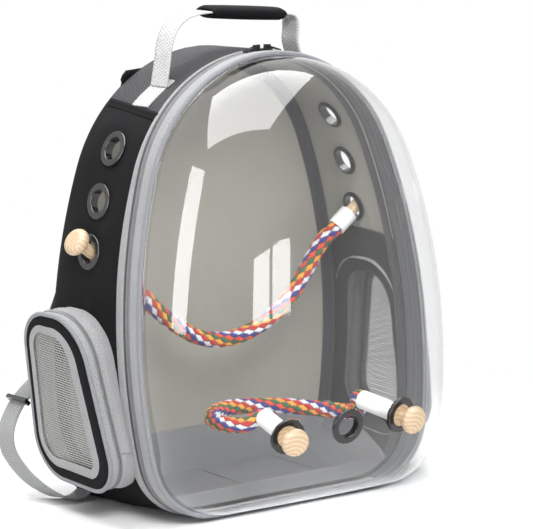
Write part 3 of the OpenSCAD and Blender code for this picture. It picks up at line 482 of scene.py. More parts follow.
def wood_material(name, centre, axis):
    """Turned beech, with rings about the knob's own axis and fine pores."""
    material, tree, shader = new_material(name, 0.5)
    where = add(tree, "ShaderNodeTexCoord").outputs["Object"]
    spin = Vector(axis).rotation_difference(Vector((0, 0, 1))).to_euler()
    moved = add(tree, "ShaderNodeMapping",
                {"Vector": where, "Location": tuple(-Vector(centre))}).outputs[0]
    turned = add(tree, "ShaderNodeMapping", {"Vector": moved, "Rotation": tuple(spin)}).outputs[0]
    group = add(tree, "ShaderNodeGroup", {"Centred": turned}, node_tree=beech)
    tree.links.new(group.outputs["Color"], shader.inputs["Base Color"])
    relief(tree, shader, group.outputs["Height"], 0.15, 0.0003)
    return material


print("plastic, metal and wood groups made")

# %% [markdown]
# ### The clear sheet
# The window is a clear plastic sheet with a faint haze in its gloss. Shadow rays pass through a plain
# transparent shader, because a sheet this thin hardly darkens what stands behind it.

# %% Clear dome material
clear, tree, shader = new_material("clear dome", 0.03, Transmission_Weight=1.0, IOR=1.42,
        Base_Color=(0.955, 0.96, 0.965, 1))
where = add(tree, "ShaderNodeTexCoord").outputs["Object"]
haze = noise_at(tree, where, 9.0, 3.0)
tree.links.new(add(tree, "ShaderNodeMapRange", {0: haze, 3: 0.01, 4: 0.06}).outputs[0],
               shader.inputs["Roughness"])
through = add(tree, "ShaderNodeBsdfTransparent", {"Color": (0.93, 0.94, 0.945, 1)}).outputs[0]
ray = add(tree, "ShaderNodeLightPath").outputs["Is Shadow Ray"]
both = add(tree, "ShaderNodeMixShader", {0: ray, 1: shader.outputs[0], 2: through}).outputs[0]
tree.links.new(both, tree.nodes["Material Output"].inputs[0])
print("clear dome material made")

# %% [markdown]
# ## Rope
# The perches are soft cotton ropes plaited from strands of six colours. The strands lean a little
# round the rope and squeeze between their neighbours, so its surface is rows of small leaves. The
# mesh and the material use one formula for that. The material colours each strand by number and paints
# shade into the gaps between strands and where a strand narrows.

# %% Rope material
rope_look, tree, shader = new_material("braided rope", 0.85, Sheen_Weight=0.05, Specular_IOR_Level=0.2)
op = maths(tree)
uv_in = add(tree, "ShaderNodeUVMap", uv_map="UVMap").outputs[0]
split = add(tree, "ShaderNodeSeparateXYZ", {0: uv_in})
STRANDS, LEAF, SQUEEZE = 12.0, 0.0118, 0.46
row = op("MULTIPLY_ADD", split.outputs[0], 1 / LEAF, op("MULTIPLY", split.outputs[1], STRANDS))
sine = op("SINE", op("MULTIPLY", split.outputs[0], 2 * math.pi / LEAF))
beat = op("MULTIPLY", sine, op("MULTIPLY", sine, sine))
side = op("COSINE", op("MULTIPLY", row, math.pi))
strand = op("MULTIPLY_ADD", op("MULTIPLY", beat, side), SQUEEZE, row)
parity = op("COSINE", op("MULTIPLY", op("FLOOR", strand), math.pi))
width = op("MULTIPLY_ADD", op("MULTIPLY", beat, parity), 2 * SQUEEZE, 1.0)
number = op("DIVIDE", op("FLOORED_MODULO", op("FLOOR", strand), 6.0), 6.0)
palette = add(tree, "ShaderNodeValToRGB", {0: op("ADD", number, 0.02)})
palette.color_ramp.interpolation = "CONSTANT"
shades = [(0.72, 0.3, 0.02), (0.45, 0.004, 0.004), (0.66, 0.66, 0.7), (0.012, 0.018, 0.2),
          (0.62, 0.05, 0.008), (0.008, 0.1, 0.04)]
palette.color_ramp.elements[0].color = (*shades[0], 1)
palette.color_ramp.elements[1].position, palette.color_ramp.elements[1].color = 1 / 6, (*shades[1], 1)
for index in range(2, 6):
    palette.color_ramp.elements.new(index / 6).color = (*shades[index], 1)
# painted shade: the strand colour is mixed towards near black in the gaps between strands and where a
# strand narrows
gap_shade_mask = op("SINE", op("MULTIPLY", op("FRACT", strand), math.pi))
gap_shade_mask = op("MINIMUM", op("MULTIPLY", gap_shade_mask, width), 1.0)
strand_color_painted_shade = mix(tree, op("SUBTRACT", 1.0, op("POWER", gap_shade_mask, 0.45)), palette.outputs[0],
             (0.02, 0.015, 0.015, 1))
fibre = noise_at(tree, uv_in, 700.0, 3.0)
tree.links.new(mix(tree, op("MULTIPLY", fibre, 0.05), strand_color_painted_shade, (0.75, 0.72, 0.68, 1)),
               shader.inputs["Base Color"])
relief(tree, shader, fibre, 0.5, 0.0006)


print("rope of", int(STRANDS), "strands, one leaf is", round(LEAF / MM, 1), "mm long")

# %% [markdown]
# ### Routes
# A rope or a strap follows one smooth curve through a few known points. It is cut into even steps,
# so the braid and the weave keep one scale, and its side direction turns along with it.

# %% Routes for ropes and straps
def smooth_route(points, steps):
    """Points on a smooth curve through the given ones, evenly spaced along it."""
    points = [Vector(p) for p in points]
    dense = []
    for i in range(len(points) - 1):
        a, b, c, d = points[max(i - 1, 0)], points[i], points[i + 1], points[min(i + 2,
                len(points) - 1)]
        for k in range(16):
            t = k / 16
            dense.append(0.5 * (2 * b + (c - a) * t + (2 * a - 5 * b + 4 * c - d) * t * t
                                + (3 * b - a - 3 * c + d) * t**3))
    dense.append(points[-1])
    lengths = [0.0]
    for p, q in zip(dense, dense[1:]):
        lengths.append(lengths[-1] + (q - p).length)
    even, j = [], 0
    for k in range(steps + 1):
        want = lengths[-1] * k / steps
        while j < len(lengths) - 2 and lengths[j + 1] < want:
            j += 1
        t = (want - lengths[j]) / max(1e-9, lengths[j + 1] - lengths[j])
        even.append(dense[j].lerp(dense[j + 1], t))
    return even, lengths[-1]


def frames_along(route, upward):
    """For each point of a route: the point, its side direction and its lift direction."""
    result = []
    for i, p in enumerate(route):
        tangent = (route[min(i + 1, len(route) - 1)] - route[max(i - 1, 0)]).normalized()
        side = tangent.cross(Vector(upward)).normalized()
        result.append((p, side, side.cross(tangent)))
    return result


def tube(name, route, radius, upward, steps_round, material, body, size):
    rows = frames_along(route, upward)

    def place(u, v):
        p, side, lift = rows[round(u * (len(rows) - 1))]
        r = radius(u, v) if callable(radius) else radius
        a = 2 * math.pi * v
        return p + side * (r * math.cos(a)) + lift * (r * math.sin(a))

    return cloth(name, (len(rows) - 1, steps_round), place, size, material, body)


print("route helpers ready")

# %% [markdown]
# ## Perches
# The perch routes repeat the CAD's points: the side perch hangs in a soft arc between the two
# lowest side eyelets, and the front perch makes a loop into the cabin from the two outer front
# eyelets. Each rope ends inside its white sleeves.

# %% Perches
def braid(radius, length):
    def bump(u, v):
        at = u * length * MM
        row = v * STRANDS + at / LEAF
        beat = math.sin(2 * math.pi * at / LEAF) ** 3
        strand = row + SQUEEZE * beat * math.cos(math.pi * row)
        width = 1 + 2 * SQUEEZE * beat * math.cos(math.pi * math.floor(strand))
        return radius - LEAF_DEEP + LEAF_DEEP * math.sqrt(max(0.0,
                min(1.0, math.sin(math.pi * (strand % 1.0)) * width)))

    return bump


def round_caps(obj):
    """Closes both ends of a tube."""
    bm = bmesh.new()
    bm.from_mesh(obj.data)
    bmesh.ops.holes_fill(bm, edges=[e for e in bm.edges if e.is_boundary], sides=0)
    bmesh.ops.recalc_face_normals(bm, faces=bm.faces)
    bm.to_mesh(obj.data)
    bm.free()


SIDE_ROUTE = [(118, 110, 222), (104, 109, 207), (91, 108, 190), (76, 107, 174), (55, 106, 158),
              (30, 105, 147), (5, 105, 142), (-20, 105, 144), (-42, 106, 152), (-62, 107, 165),
              (-79, 108, 179), (-94, 109, 195), (-108, 110, 212)]
FRONT_ROUTE = [(-66, -14, 92), (-72, 10, 88), (-66, 40, 86), (-46, 62, 86), (-16, 73, 84), (14, 73, 80),
               (44, 62, 77), (66, 40, 75), (72, 10, 78), (66, -14, 87)]


ROPE_R, ROPE_STEPS, ROPE_ROUND, LEAF_DEEP = 7.5, 420, 84, 1.7


def rope(name, start, end, route, upward, replaced):
    """A braided perch rope between two sleeves; start and end are (point, inward direction)."""
    points = [start[0], start[0] + start[1] * 6, *[Vector(p) for p in route], end[0] + end[1] * 6,
              end[0]]
    path, length = smooth_route(points, ROPE_STEPS)
    obj = tube(name, path, braid(ROPE_R, length), upward, ROPE_ROUND, rope_look,
               "shell" if "side" in name else "cover", (length * MM, 1.0))
    round_caps(obj)
    obj.data.update()
    line = [(p - FOOT) * MM for p in path[::6]] + [(path[-1] - FOOT) * MM]
    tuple(line[0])
    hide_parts(replaced)
    print(name, round(length), "mm long")
    return obj


SIDE_SLOPE, SIDE_STEM = math.radians(37), 30.05
EYELETS = ((254, 84), (301, 78), (349, 72))
PERCH_H, PERCH_DEPTH = EYELETS[0]
side_ends = []
for sign in (1, -1):
    inward = Vector((-sign * math.cos(SIDE_SLOPE), 0, -math.sin(SIDE_SLOPE)))
    side_ends.append((world(sign * rim_at(rim_s(PERCH_H))[0], PERCH_H,
                            -PERCH_DEPTH) + inward * SIDE_STEM, inward))
rope("side_rope", side_ends[0], side_ends[1], SIDE_ROUTE, (0, 1, 0), "side_perch_rope")

print("side perch hangs from height", PERCH_H, "mm along the rim plane")

# %% [markdown]
# ## Dome
# The clear window is vacuum-formed: a crowned front that turns round a soft shoulder and falls
# straight to a narrow flange under the light band. Its depth is a formula over the rim's outline,
# so the mesh is one grid that runs round the rim and inward to the middle, with three holes.

# %% Dome shape
EDGE, ROUND, MIDDLE = 0.533, 0.646, 208.0
DOME_OUT, PLAN_R, PROFILE_R, DOME_INSET, TURN_A = 105.0, 403.0, 1370.0, 3, math.radians(52)
FRONT_HOLE, FRONT_STEM = 12.3, 49.05


def dome_crown(x, h):
    return DOME_OUT - x * x / (2 * PLAN_R) - (h - MIDDLE) ** 2 / (2 * PROFILE_R)


def dome_point(s, q, depth_share):
    x, h, nx, nh = rim_at(s)
    x, h = (x - DOME_INSET * nx) * q, MIDDLE + (h - DOME_INSET * nh - MIDDLE) * q
    return world(x, h, dome_crown(x, h) * depth_share)


def dome_surface(x, h):
    """Depth of the dome in front of the rim plane at a point of it, by its share of the way out."""
    vx, vh = x, h - MIDDLE
    low, high = 0.0, 4000.0
    for _ in range(50):
        t = (low + high) / 2
        px, ph = vx * t, MIDDLE + vh * t
        outline = rim_at(rim_s(min(max(ph, 0.01), RIM_H - 0.01)))
        inside = 0 < ph < RIM_H and abs(px) < outline[0]
        low, high = (t, high) if inside else (low, t)
    n = rim_at(rim_s(min(max(MIDDLE + vh * low, 0.01), RIM_H - 0.01)))
    inset = DOME_INSET / max(1e-6, abs(vx * low * n[2]) + abs(vh * low * n[3])) if low else 0
    q = 1 / (low * (1 - inset)) if low else 0
    return dome_crown(x, h) * max(0.0, 1 - q ** (2 / EDGE)) ** (ROUND / 2)


def dome_axis(x, h):
    gx = (dome_surface(x + 1, h) - dome_surface(x - 1, h)) / 2
    gh = (dome_surface(x, h + 1) - dome_surface(x, h - 1)) / 2
    normal = direction(-gx, -gh, 1).normalized()
    return world(x, h, dome_surface(x, h)), normal


def round_hole(centre, normal, radius):
    def hole(p):
        v = p - centre
        along = v.dot(normal)
        flat = v - normal * along
        return (flat.length - radius if abs(along) < 14 else 99.0), flat.normalized()

    return hole


FLANGE, FACE_SHARE, SHOULDER, CROWN_SHARE = 0.04, 0.96, 0.55, 0.45


def place_dome(u, v):
    s = -HALF_L + 2 * HALF_L * u
    if v < FLANGE:
        x, h, nx, nh = rim_at(s)
        r = -DOME_INSET * v / FLANGE
        return world(x + nx * r, h + nh * r, -2.9)
    w = (v - FLANGE) / FACE_SHARE
    if w < SHOULDER:
        a = TURN_A * w / SHOULDER
        q = math.cos(a) ** EDGE
    else:
        q = math.cos(TURN_A) ** EDGE * (1 - (w - SHOULDER) / CROWN_SHARE)
        a = math.acos(q ** (1 / EDGE))
    return dome_point(s, q, math.sin(a) ** ROUND if a > 0 else 0)


front_axes = [dome_axis(x, 80) for x in (-66, 0, 66)]
dome = cloth("dome", (360, 75), place_dome, (1.2, 0.5), clear, "cover",
             holes=[round_hole(c, n, FRONT_HOLE) for c, n in front_axes])
wall = dome.modifiers.new("thickness", "SOLIDIFY")
wall.thickness, wall.offset = 1.0 * MM, -1
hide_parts("cover_dome")
front_ends = [(c - n * FRONT_STEM, -n) for c, n in front_axes]
rope("front_rope", front_ends[0], front_ends[2], FRONT_ROUTE, (0, 0, 1), "front_perch_rope")
print("dome and ropes", len(dome.data.polygons), "faces")

# %% [markdown]
# ## Bands along the rim
# Seen from the front, a light tape holds the dome's flange, a gray piping closes its edge, then come
# the two halves of the zip and a second light tape that binds the shell's own edge. Each is sewn
# along the whole rim, so one helper sweeps a small profile of (outward, depth) points round it. The
# coils have real turns. At the base the zip stops and the cloth itself is the hinge.

# %% Rim bands
PROFILE_FINE, GROUND = 4, 0.3


def rim_band(name, profile, material, body, thick=0.0, start=-HALF_L, end=HALF_L, steps=420,
             shift=None):
    path, length = smooth_route([(r, d, 0) for r, d in profile], PROFILE_FINE * (len(profile) - 1))

    def place(u, v):
        s = start + (end - start) * u
        x, h, nx, nh = rim_at(s)
        r, d, _ = path[round(v * (len(path) - 1))]
        p = world(x + nx * r, h + nh * r, -(shift(s, d) if shift else d))
        p.z = max(p.z, GROUND)
        return p

    return cloth(name, (steps, len(path) - 1), place, ((end - start) * MM, length * MM), material, body,
                 thick)


def coil(name, at, first, last, turn, body, half=1.05):
    """Half of a zip's coil, 2 * half wide: at(s) gives a point, its outward and its side vector."""
    count = round((last - first) / turn)

    def place(u, v):
        point, out, side = at(first + (last - first) * u)
        a = math.pi * v
        ridge = 0.72 + 0.28 * math.cos(2 * math.pi * count * u)
        return point + out * (1.85 * math.sin(a) ** 0.8 * ridge - 0.2) + side * (half
                * (1 - math.cos(a)) * (0.85 + 0.15 * ridge))

    return cloth(name, (count * 4, 6), place, ((last - first) * MM, 0.004), coil_plastic, body)


BIND_FRONT, COIL_TURN, COIL_HALF = 25.4, 1.9, 1.85


def squeeze(s, d):
    """The binding and the cloth's front edge come forward, so the binding is narrow over the arch."""
    a = from_base(s)
    t = min(1.0, max(0.0, (a - rim_s(215)) / (arch_s(48) - rim_s(215))))
    return d if d < BIND_FRONT else BIND_FRONT + (d - BIND_FRONT) * (1 - 0.65 * t * t * (3 - 2 * t))


def rim_edge(depth, way):
    def at(s):
        x, h, nx, nh = rim_at(s)
        return world(x, h, -depth), direction(nx, nh, 0), direction(0, 0, -way)

    return at


HINGE = 108.0
ZIP_END = 2 * HALF_L - HINGE
band = rim_band("light_band", [(0.1, 2.7), (1.2, 3.0), (1.5, 8.4), (1.2, 13.7), (0.1, 14.1)],
                light_band, "cover", 0.4)
rim_band("hinge_cloth_front", [(0.2, 13.8), (1.1, 14.4), (1.1, 18.2)], light_band, "cover", 0.4, -HINGE,
         HINGE, 90)
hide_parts("cover_band")
cover_tape = rim_band("cover_zip_tape", [(-0.35, 8.7), (-0.35, 13), (-0.35, 17.6)], zip_tape, "cover",
                      0.6, HINGE, ZIP_END)
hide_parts("cover_zip")
coil("cover_zip_coil", rim_edge(18.35, -1), HINGE, ZIP_END, COIL_TURN, "cover", COIL_HALF)
shell_tape = rim_band("shell_zip_tape", [(-0.35, 19.2), (-0.35, 24), (-0.35, 30)], zip_tape, "shell",
                      0.6, HINGE, ZIP_END, shift=squeeze)
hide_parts("shell_zip")
coil("shell_zip_coil", rim_edge(18.65, 1), HINGE, ZIP_END, COIL_TURN, "shell", COIL_HALF)
binding = rim_band("rim_tape", [(0.1, 25.5), (1.2, 25.9), (1.7, 30.6), (1.2, 35.6), (0.1, 36.0)],
                   light_band, "shell", 0.4, shift=squeeze)
rim_band("hinge_cloth_rear", [(1.1, 18.8), (1.1, 24.9), (0.5, 25.8)], light_band, "shell", 0.4, -HINGE,
         HINGE, 90)
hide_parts("rim_binding")
facing = rim_band("inner_facing", [(-1.2, 4.2), (-1.3, 9), (-1.2, 13.4)], dark_band, "cover", 0.5)
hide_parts("cover_facing")


def edge_piping(name, at, radius, length, steps, body):
    """A corded piping: at(u) gives its middle, an outward vector and a forward vector."""
    def place(u, v):
        point, out, forward = at(u)
        a = 2 * math.pi * v
        return point + out * (radius * math.cos(a)) + forward * (radius * math.sin(a))

    return cloth(name, (steps, 12), place, (length * MM, 2 * math.pi * radius * MM), piping_cloth, body)


def piping_at(u):
    x, h, nx, nh = rim_at(-HALF_L + 2 * HALF_L * u)
    return world(x - 0.2 * nx, h - 0.2 * nh, 0), direction(nx, nh, 0), direction(0, 0, 1)


piping = edge_piping("rim_piping", piping_at, 2.5, 2 * HALF_L, 420, "cover")
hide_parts("cover_piping")
print("rim bands made")

# %% [markdown]
# ## Shell cloth
# The shell is cut from five pieces: two sides, a top, a base and a back. The sides are the softest:
# they swell a little between their seams and have shallow creases, but lie flat round the
# eyelets. The same swell is used for the lining, so the layers never cross.

# %% Swell and shell helper
PANEL_FRONT, BACK_IN, LINING_IN, LINING_FLOOR, EYELET_HOLE = 30.2, 158.8, 157.2, 1.8, 12.4
side_axes = {}
for sign in (-1, 1):
    for index, (h, depth) in enumerate(EYELETS):
        x, _, nx, nh = rim_at(sign * rim_s(h))
        side_axes[sign, index] = (world(x, h, -depth), direction(nx, nh, 0).normalized())


def swell(s, v, p):
    """How far the cloth stands out at v of the way from its front seam to its back seam."""
    edge = math.sin(math.pi * min(1, max(0, v))) ** 0.7
    a = from_base(s)
    seams = min(1.0, abs(a - seam_at(SEAM_FRONT + SEAM_RUN * v)) / 25, abs(a - SEAM_BASE) / 25)
    soft = 4.5 * math.exp(-(((a - rim_s(225)) / 85) ** 2)) + 1.2
    broad = noise.noise(Vector((p.x * 0.012, p.y * 0.02, p.z * 0.025))) * 1.6
    crease = broad + noise.noise(p * 0.06) * 0.5
    for c, _ in side_axes.values():
        near = (p - c).length
        if near < 60:
            soft *= 1 - math.exp(-((near / 26) ** 2))
            crease *= 1 - math.exp(-((near / 20) ** 2))
    return (soft + crease) * edge * seams


def shell_piece(name, low, high, r, material, thick, steps, holes=(), y_back=BACK_IN, floor=0.6):
    """Cloth of the shell from low(depth) to high(depth) along the rim, at r outward of it."""
    def place(u, v):
        s = high(PANEL_FRONT)
        for _ in range(3):
            h, front = rim_at(s)[1], squeeze(s, PANEL_FRONT)
            d = front + (back_depth_at(h, y_back) - front) * v
            s = low(d) + (high(d) - low(d)) * u
        x, h, nx, nh = rim_at(s)
        front = squeeze(s, PANEL_FRONT)
        d = front + (back_depth_at(h + nh * r, y_back) - front) * v
        p = world(x + nx * r, h + nh * r, -d)
        p += direction(nx, nh, 0) * swell(s, v, p)
        p.z = max(p.z, floor)
        return p

    size = (abs(high(90) - low(90)) * MM, 0.128)
    return cloth(name, steps, place, size, material, "shell", thick, holes)


def at(value):
    return lambda depth: value


print("side eyelets laid out:", len(side_axes))

# %% [markdown]
# ## Side pocket outline
# Each pocket is a rounded leaf shape, drawn by four circles and their tangents, on a face that
# stands off the side and tips outward at its top. The same outline gives the window behind it.

# %% Pocket outline
POCKET_CIRCLES = [(66, 61, 31), (114, 73, 42), (121, 158, 36), (106, 145, 50)]
TIP, POCKET_FOOT, POCKET_OUT, RING = math.radians(5.8), 25, 185, 240


def pocket_outline(count):
    """Points of the outline, evenly spaced, as (back, up, outward back, outward up)."""
    raw, circles = [], POCKET_CIRCLES

    def tangent(a, b):
        dx, dy = b[0] - a[0], b[1] - a[1]
        return math.atan2(dy, dx) - math.pi / 2 + math.asin((a[2] - b[2]) / math.hypot(dx, dy))

    for i, c in enumerate(circles):
        first, last = tangent(circles[i - 1], c), tangent(c, circles[(i + 1) % 4])
        last += 2 * math.pi if last < first else 0
        for k in range(25):
            a = first + (last - first) * k / 24
            raw.append((c[0] + c[2] * math.cos(a), c[1] + c[2] * math.sin(a), math.cos(a), math.sin(a)))
    raw.append(raw[0])
    lengths = [0.0]
    for p, q in zip(raw, raw[1:]):
        lengths.append(lengths[-1] + math.hypot(q[0] - p[0], q[1] - p[1]))
    even, j = [], 0
    for k in range(count):
        want = lengths[-1] * k / count
        while lengths[j + 1] < want:
            j += 1
        t = (want - lengths[j]) / max(1e-9, lengths[j + 1] - lengths[j])
        x, y, nx, ny = (a + (b - a) * t for a, b in zip(raw[j], raw[j + 1]))
        n = math.hypot(nx, ny)
        even.append((x, y, nx / n, ny / n))
    return even, lengths[-1]


OUTLINE, OUTLINE_L = pocket_outline(RING)


def pocket_at(sign, back_y, up_z, out):
    """A point of the pocket's own frame in the room: the face lies at out = 0."""
    y, z = up_z - POCKET_FOOT, out
    y, z = y * math.cos(TIP) - z * math.sin(TIP), y * math.sin(TIP) + z * math.cos(TIP)
    return Vector((sign * (z + POCKET_OUT), back_y, y + POCKET_FOOT))


def window_hole(sign):
    def hole(p):
        y, z = p.z - POCKET_FOOT, sign * p.x - POCKET_OUT
        up_z = y * math.cos(TIP) + z * math.sin(TIP) + POCKET_FOOT
        best = max((nx * (p.y - x) + ny * (up_z - y0), nx, ny) for x, y0, nx, ny in OUTLINE[::3])
        return best[0] + 16, Vector((0, best[1], best[2]))

    return hole


print("pocket outline", round(OUTLINE_L), "mm round")

# %% [markdown]
# ## The sewn panels
# On each side: black cloth outside, lining inside above the net, and the net below it behind the
# pocket. Then come top, base and back, and a felled seam that folds over each side's upper edge.

# %% Shell cloth
for sign, side in SIDES:
    eyelet_holes = [round_hole(*side_axes[sign, i], EYELET_HOLE) for i in range(3)]
    panel = shell_piece("side_cloth_" + side, at(sign * SEAM_BASE), lambda d: sign * seam_at(d), -0.6,
                        black_cloth, 1.0, (150, 52), [*eyelet_holes, window_hole(sign)])
    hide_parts("side_panel_" + side)
    split_s = lambda depth: sign * rim_s((226 - 5 + depth * math.sin(LEAN)) / math.cos(LEAN))
    lining = shell_piece("side_lining_cloth_" + side, split_s, lambda d: sign * seam_at(d), -2.0, khaki,
                         0.5, (70, 40), eyelet_holes, LINING_IN, LINING_FLOOR)
    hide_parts("side_lining_" + side)
    net = shell_piece("side_net_" + side, at(sign * SEAM_BASE), split_s, -2.0, inner_net_look, 0.4,
                      (90, 30), (), LINING_IN, LINING_FLOOR)
    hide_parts("inner_net_" + side)
top = shell_piece("top_cloth", seam_at, lambda d: 2 * HALF_L - seam_at(d), -0.6, top_black, 1.0,
                  (110, 36))
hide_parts("top_panel")
top_inner = shell_piece("top_lining_cloth", seam_at, lambda d: 2 * HALF_L - seam_at(d), -2.0, khaki,
                        0.5, (110, 30), (), LINING_IN)
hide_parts("top_lining")
base = shell_piece("base_cloth", at(-SEAM_BASE), at(SEAM_BASE), -0.6, black_cloth, 1.0, (60, 40))
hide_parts("base_panel")


def seam_fold(u, v, sign):
    """The felled seam: a raised fold over the side cloth's upper edge, along the depth."""
    d = 30 + 88 * u
    lift = (0.2, 1.7, 2.0, 1.0, 0.75, 0.75, 0.1)[round(v * 6)]
    s = sign * (seam_at(d) + 1.5 - 9.5 * v)
    x, h, nx, nh = rim_at(s)
    return world(x + nx * lift, h + nh * lift, -min(squeeze(s, 30.5) + (d - 30),
            back_depth_at(h, 158.5)))


for sign, side in SIDES:
    cloth("seam_fold_" + side, (40, 6), lambda u, v: seam_fold(u, v, sign), (0.088, 0.01), black_cloth,
          "shell", 0.5)


def back_sheet(name, y, r, material, thick, floor, puff):
    top_z = LIFT + (RIM_H + r) * math.cos(LEAN) - back_depth_at(RIM_H + r, y) * math.sin(LEAN)

    def place(u, v):
        z = floor + (top_z - floor) * (1 - (1 - v) ** 2)
        half = rim_width(min(z - r * 0.5, top_z - 0.2 * (1 - v)), y) + r if v < 1 else 0.0
        x = (2 * u - 1) * max(half, 0.0)
        near = 1 - abs(2 * u - 1) ** 6
        wave = noise.noise(Vector((x * 0.01, 3.1, z * 0.016))) * puff
        return Vector((x, y + wave * near * min(1, z / 40, (top_z - z) / 40 + 0.05), z))

    return cloth(name, (70, 80), place, (0.33, 0.42), material, "shell", thick)


back_cloth = back_sheet("back_cloth", 159.4, -0.3, black_cloth, 1.1, 0.6, 0.25)
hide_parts("back_panel")
back_inner = back_sheet("back_lining_cloth", 157.6, -2.2, khaki, 0.5, 1.6, 0.5)
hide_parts("back_lining")
print("shell cloth made")

# %% [markdown]
# ## Inner tapes
# Inside, dark tape covers the raw seams: one ring just behind the zip and one round the back.

# %% Inner tapes
front_tape = rim_band("inner_tape_front", [(-2.9, 31.2), (-3.1, 36.5), (-2.9, 42)], dark_band, "shell",
                      0.6, CORNER_X + 14, 2 * HALF_L - CORNER_X - 14)
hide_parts("inner_bindings")


def place_back_tape(u, v):
    s = CORNER_X + 14 + (2 * HALF_L - 2 * CORNER_X - 28) * u
    x, h, nx, nh = rim_at(s)
    r = -2.9 - 13.5 * v
    p = world(x + nx * r, h + nh * r, -back_depth_at(h + nh * r, 156.6))
    p.z = max(p.z, 2.4)
    return p


cloth("inner_tape_back", (300, 6), place_back_tape, (1.05, 0.0135), dark_band, "shell", 0.6)

print("inner tapes made")

# %% [markdown]
# ## Side pockets
# A pocket is a zipped flap on a gusset: a gusset wall on the shell with half a zip, then the
# flap's band and coil, a gray piping, a padded black border, a light frame and a net in its middle.

# %% Pockets
NET_X, NET_Y = 98, 112


def inset(nx, r):
    """The face is padded and turns away at its back edge, so the rings there lie closer to it."""
    return r * (0.87 - 0.33 * nx) if r < -2 else r


def leaf_band(name, sign, profile, material, body, thick=0.0):
    path, length = smooth_route([(r, z, 0) for r, z in profile], PROFILE_FINE * (len(profile) - 1))

    def place(u, v):
        x, y, nx, ny = OUTLINE[round(u * RING) % RING]
        r, z, _ = path[round(v * (len(path) - 1))]
        r = inset(nx, r)
        return pocket_at(sign, x + nx * r, y + ny * r, z)

    return cloth(name, (RING, len(path) - 1), place, (OUTLINE_L * MM, length * MM), material, body,
                 thick)


def leaf_edge(sign, out, way):
    def at_s(s):
        k = (s / OUTLINE_L) * RING % RING
        a, b, t = OUTLINE[int(k) % RING], OUTLINE[(int(k) + 1) % RING], k % 1
        x, y, nx, ny = (p + (q - p) * t for p, q in zip(a, b))
        origin = pocket_at(sign, 0, 0, 0)
        return (pocket_at(sign, x - 0.4 * nx, y - 0.4 * ny, out), pocket_at(sign, nx, ny, 0) - origin,
                pocket_at(sign, 0, 0, way) - origin)

    return at_s


for sign, side in SIDES:
    flap = "pocket_flap_" + side
    border = leaf_band("pocket_border_" + side, sign, [(-18.5, -0.7), (-16.5, 0.4), (-9.5, 0.9),
            (-3.5, 0.3), (-2.4, -0.8)], black_cloth, flap, 1.0)
    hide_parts("pocket_face_" + side)
    ring = leaf_band("pocket_frame_" + side, sign, [(-24, 0.5), (-23.6, 1.1), (-19, 1.5), (-14.4, 1.3),
            (-14, 0.7)], light_band, flap, 0.5)
    leaf_band("pocket_flap_band_" + side, sign, [(-0.7, -2.6), (-0.5, -6), (-0.7, -9.4)], light_band,
              flap, 0.9)
    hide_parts("pocket_trim_" + side)
    coil("pocket_flap_coil_" + side, leaf_edge(sign, -9.5, -1), 0, OUTLINE_L, 1.5, flap)
    coil("pocket_wall_coil_" + side, leaf_edge(sign, -14.0, 1), 0, OUTLINE_L, 1.5, "shell")

    def cord_at(u):
        x, y, nx, ny = OUTLINE[round(u * RING) % RING]
        origin = pocket_at(sign, 0, 0, 0)
        return (pocket_at(sign, x - 0.2 * nx, y - 0.2 * ny, -0.4), pocket_at(sign, nx, ny, 0) - origin,
                pocket_at(sign, 0, 0, 1) - origin)

    edge = edge_piping("pocket_piping_cord_" + side, cord_at, 2.2, OUTLINE_L, RING, flap)
    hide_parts("pocket_piping_" + side)

    def place_net(u, v):
        x, y, nx, ny = OUTLINE[round(u * RING) % RING]
        r = inset(nx, -16)
        x, y = NET_X + (x + r * nx - NET_X) * v, NET_Y + (y + r * ny - NET_Y) * v
        sag = noise.noise(Vector((x * 0.03, y * 0.03, sign))) * 1.2
        return pocket_at(sign, x, y, -1.4 + (2.2 + sag) * (1 - v * v))

    net = cloth("pocket_mesh_" + side, (RING, 26), place_net, (1, 1), pocket_net_look, flap, 0.0)
    uv_layer = net.data.uv_layers["UVMap"].data
    for loop in net.data.loops:
        co = net.data.vertices[loop.vertex_index].co
        uv_layer[loop.index].uv = (co.y, co.z)
    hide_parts("pocket_net_" + side)

    def place_wall(u, v):
        x, y, nx, ny = OUTLINE[round(u * RING) % RING]
        outer = pocket_at(sign, x - 0.7 * nx, y - 0.7 * ny, -13.2)
        half = rim_width(outer.z, outer.y) + (1.4 if outer.y < 40 else -0.2)
        slack_cloth = math.sin(math.pi * v) * (1.2 + noise.noise(Vector((u * 14, v * 2, sign * 5)))
                * 1.6)
        p = outer.lerp(Vector((sign * half, outer.y, outer.z)), v)
        return p + (pocket_at(sign, nx, ny, 0) - pocket_at(sign, 0, 0, 0)) * slack_cloth

    gusset = cloth("pocket_gusset_" + side, (RING, 14), place_wall, (OUTLINE_L * MM, 0.02), light_band,
                   "shell", 1.0)
    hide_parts("pocket_wall_" + side)
print("pockets made")

# %% [markdown]
# ## Carry handle
# White webbing is folded under itself and sewn flat to the top as two tabs. From each tab a strap
# stands up and turns over into the grip, a padded sleeve round the middle of the webbing.

# %% Handle
def strip(name, route, wide, material, body, width, thick, up=None, steps=60):
    """Webbing along a route of points; wide is its width direction, or up turns with the route."""
    path, length = smooth_route(route, steps)
    rows = frames_along(path, up) if up else [(p, None, Vector(wide)) for p in path]

    def place(u, v):
        p, _, lift = rows[round(u * steps)]
        return p + lift * ((v - 0.5) * width)

    return cloth(name, (steps, 8), place, (length * MM, width * MM), material, body, thick), length


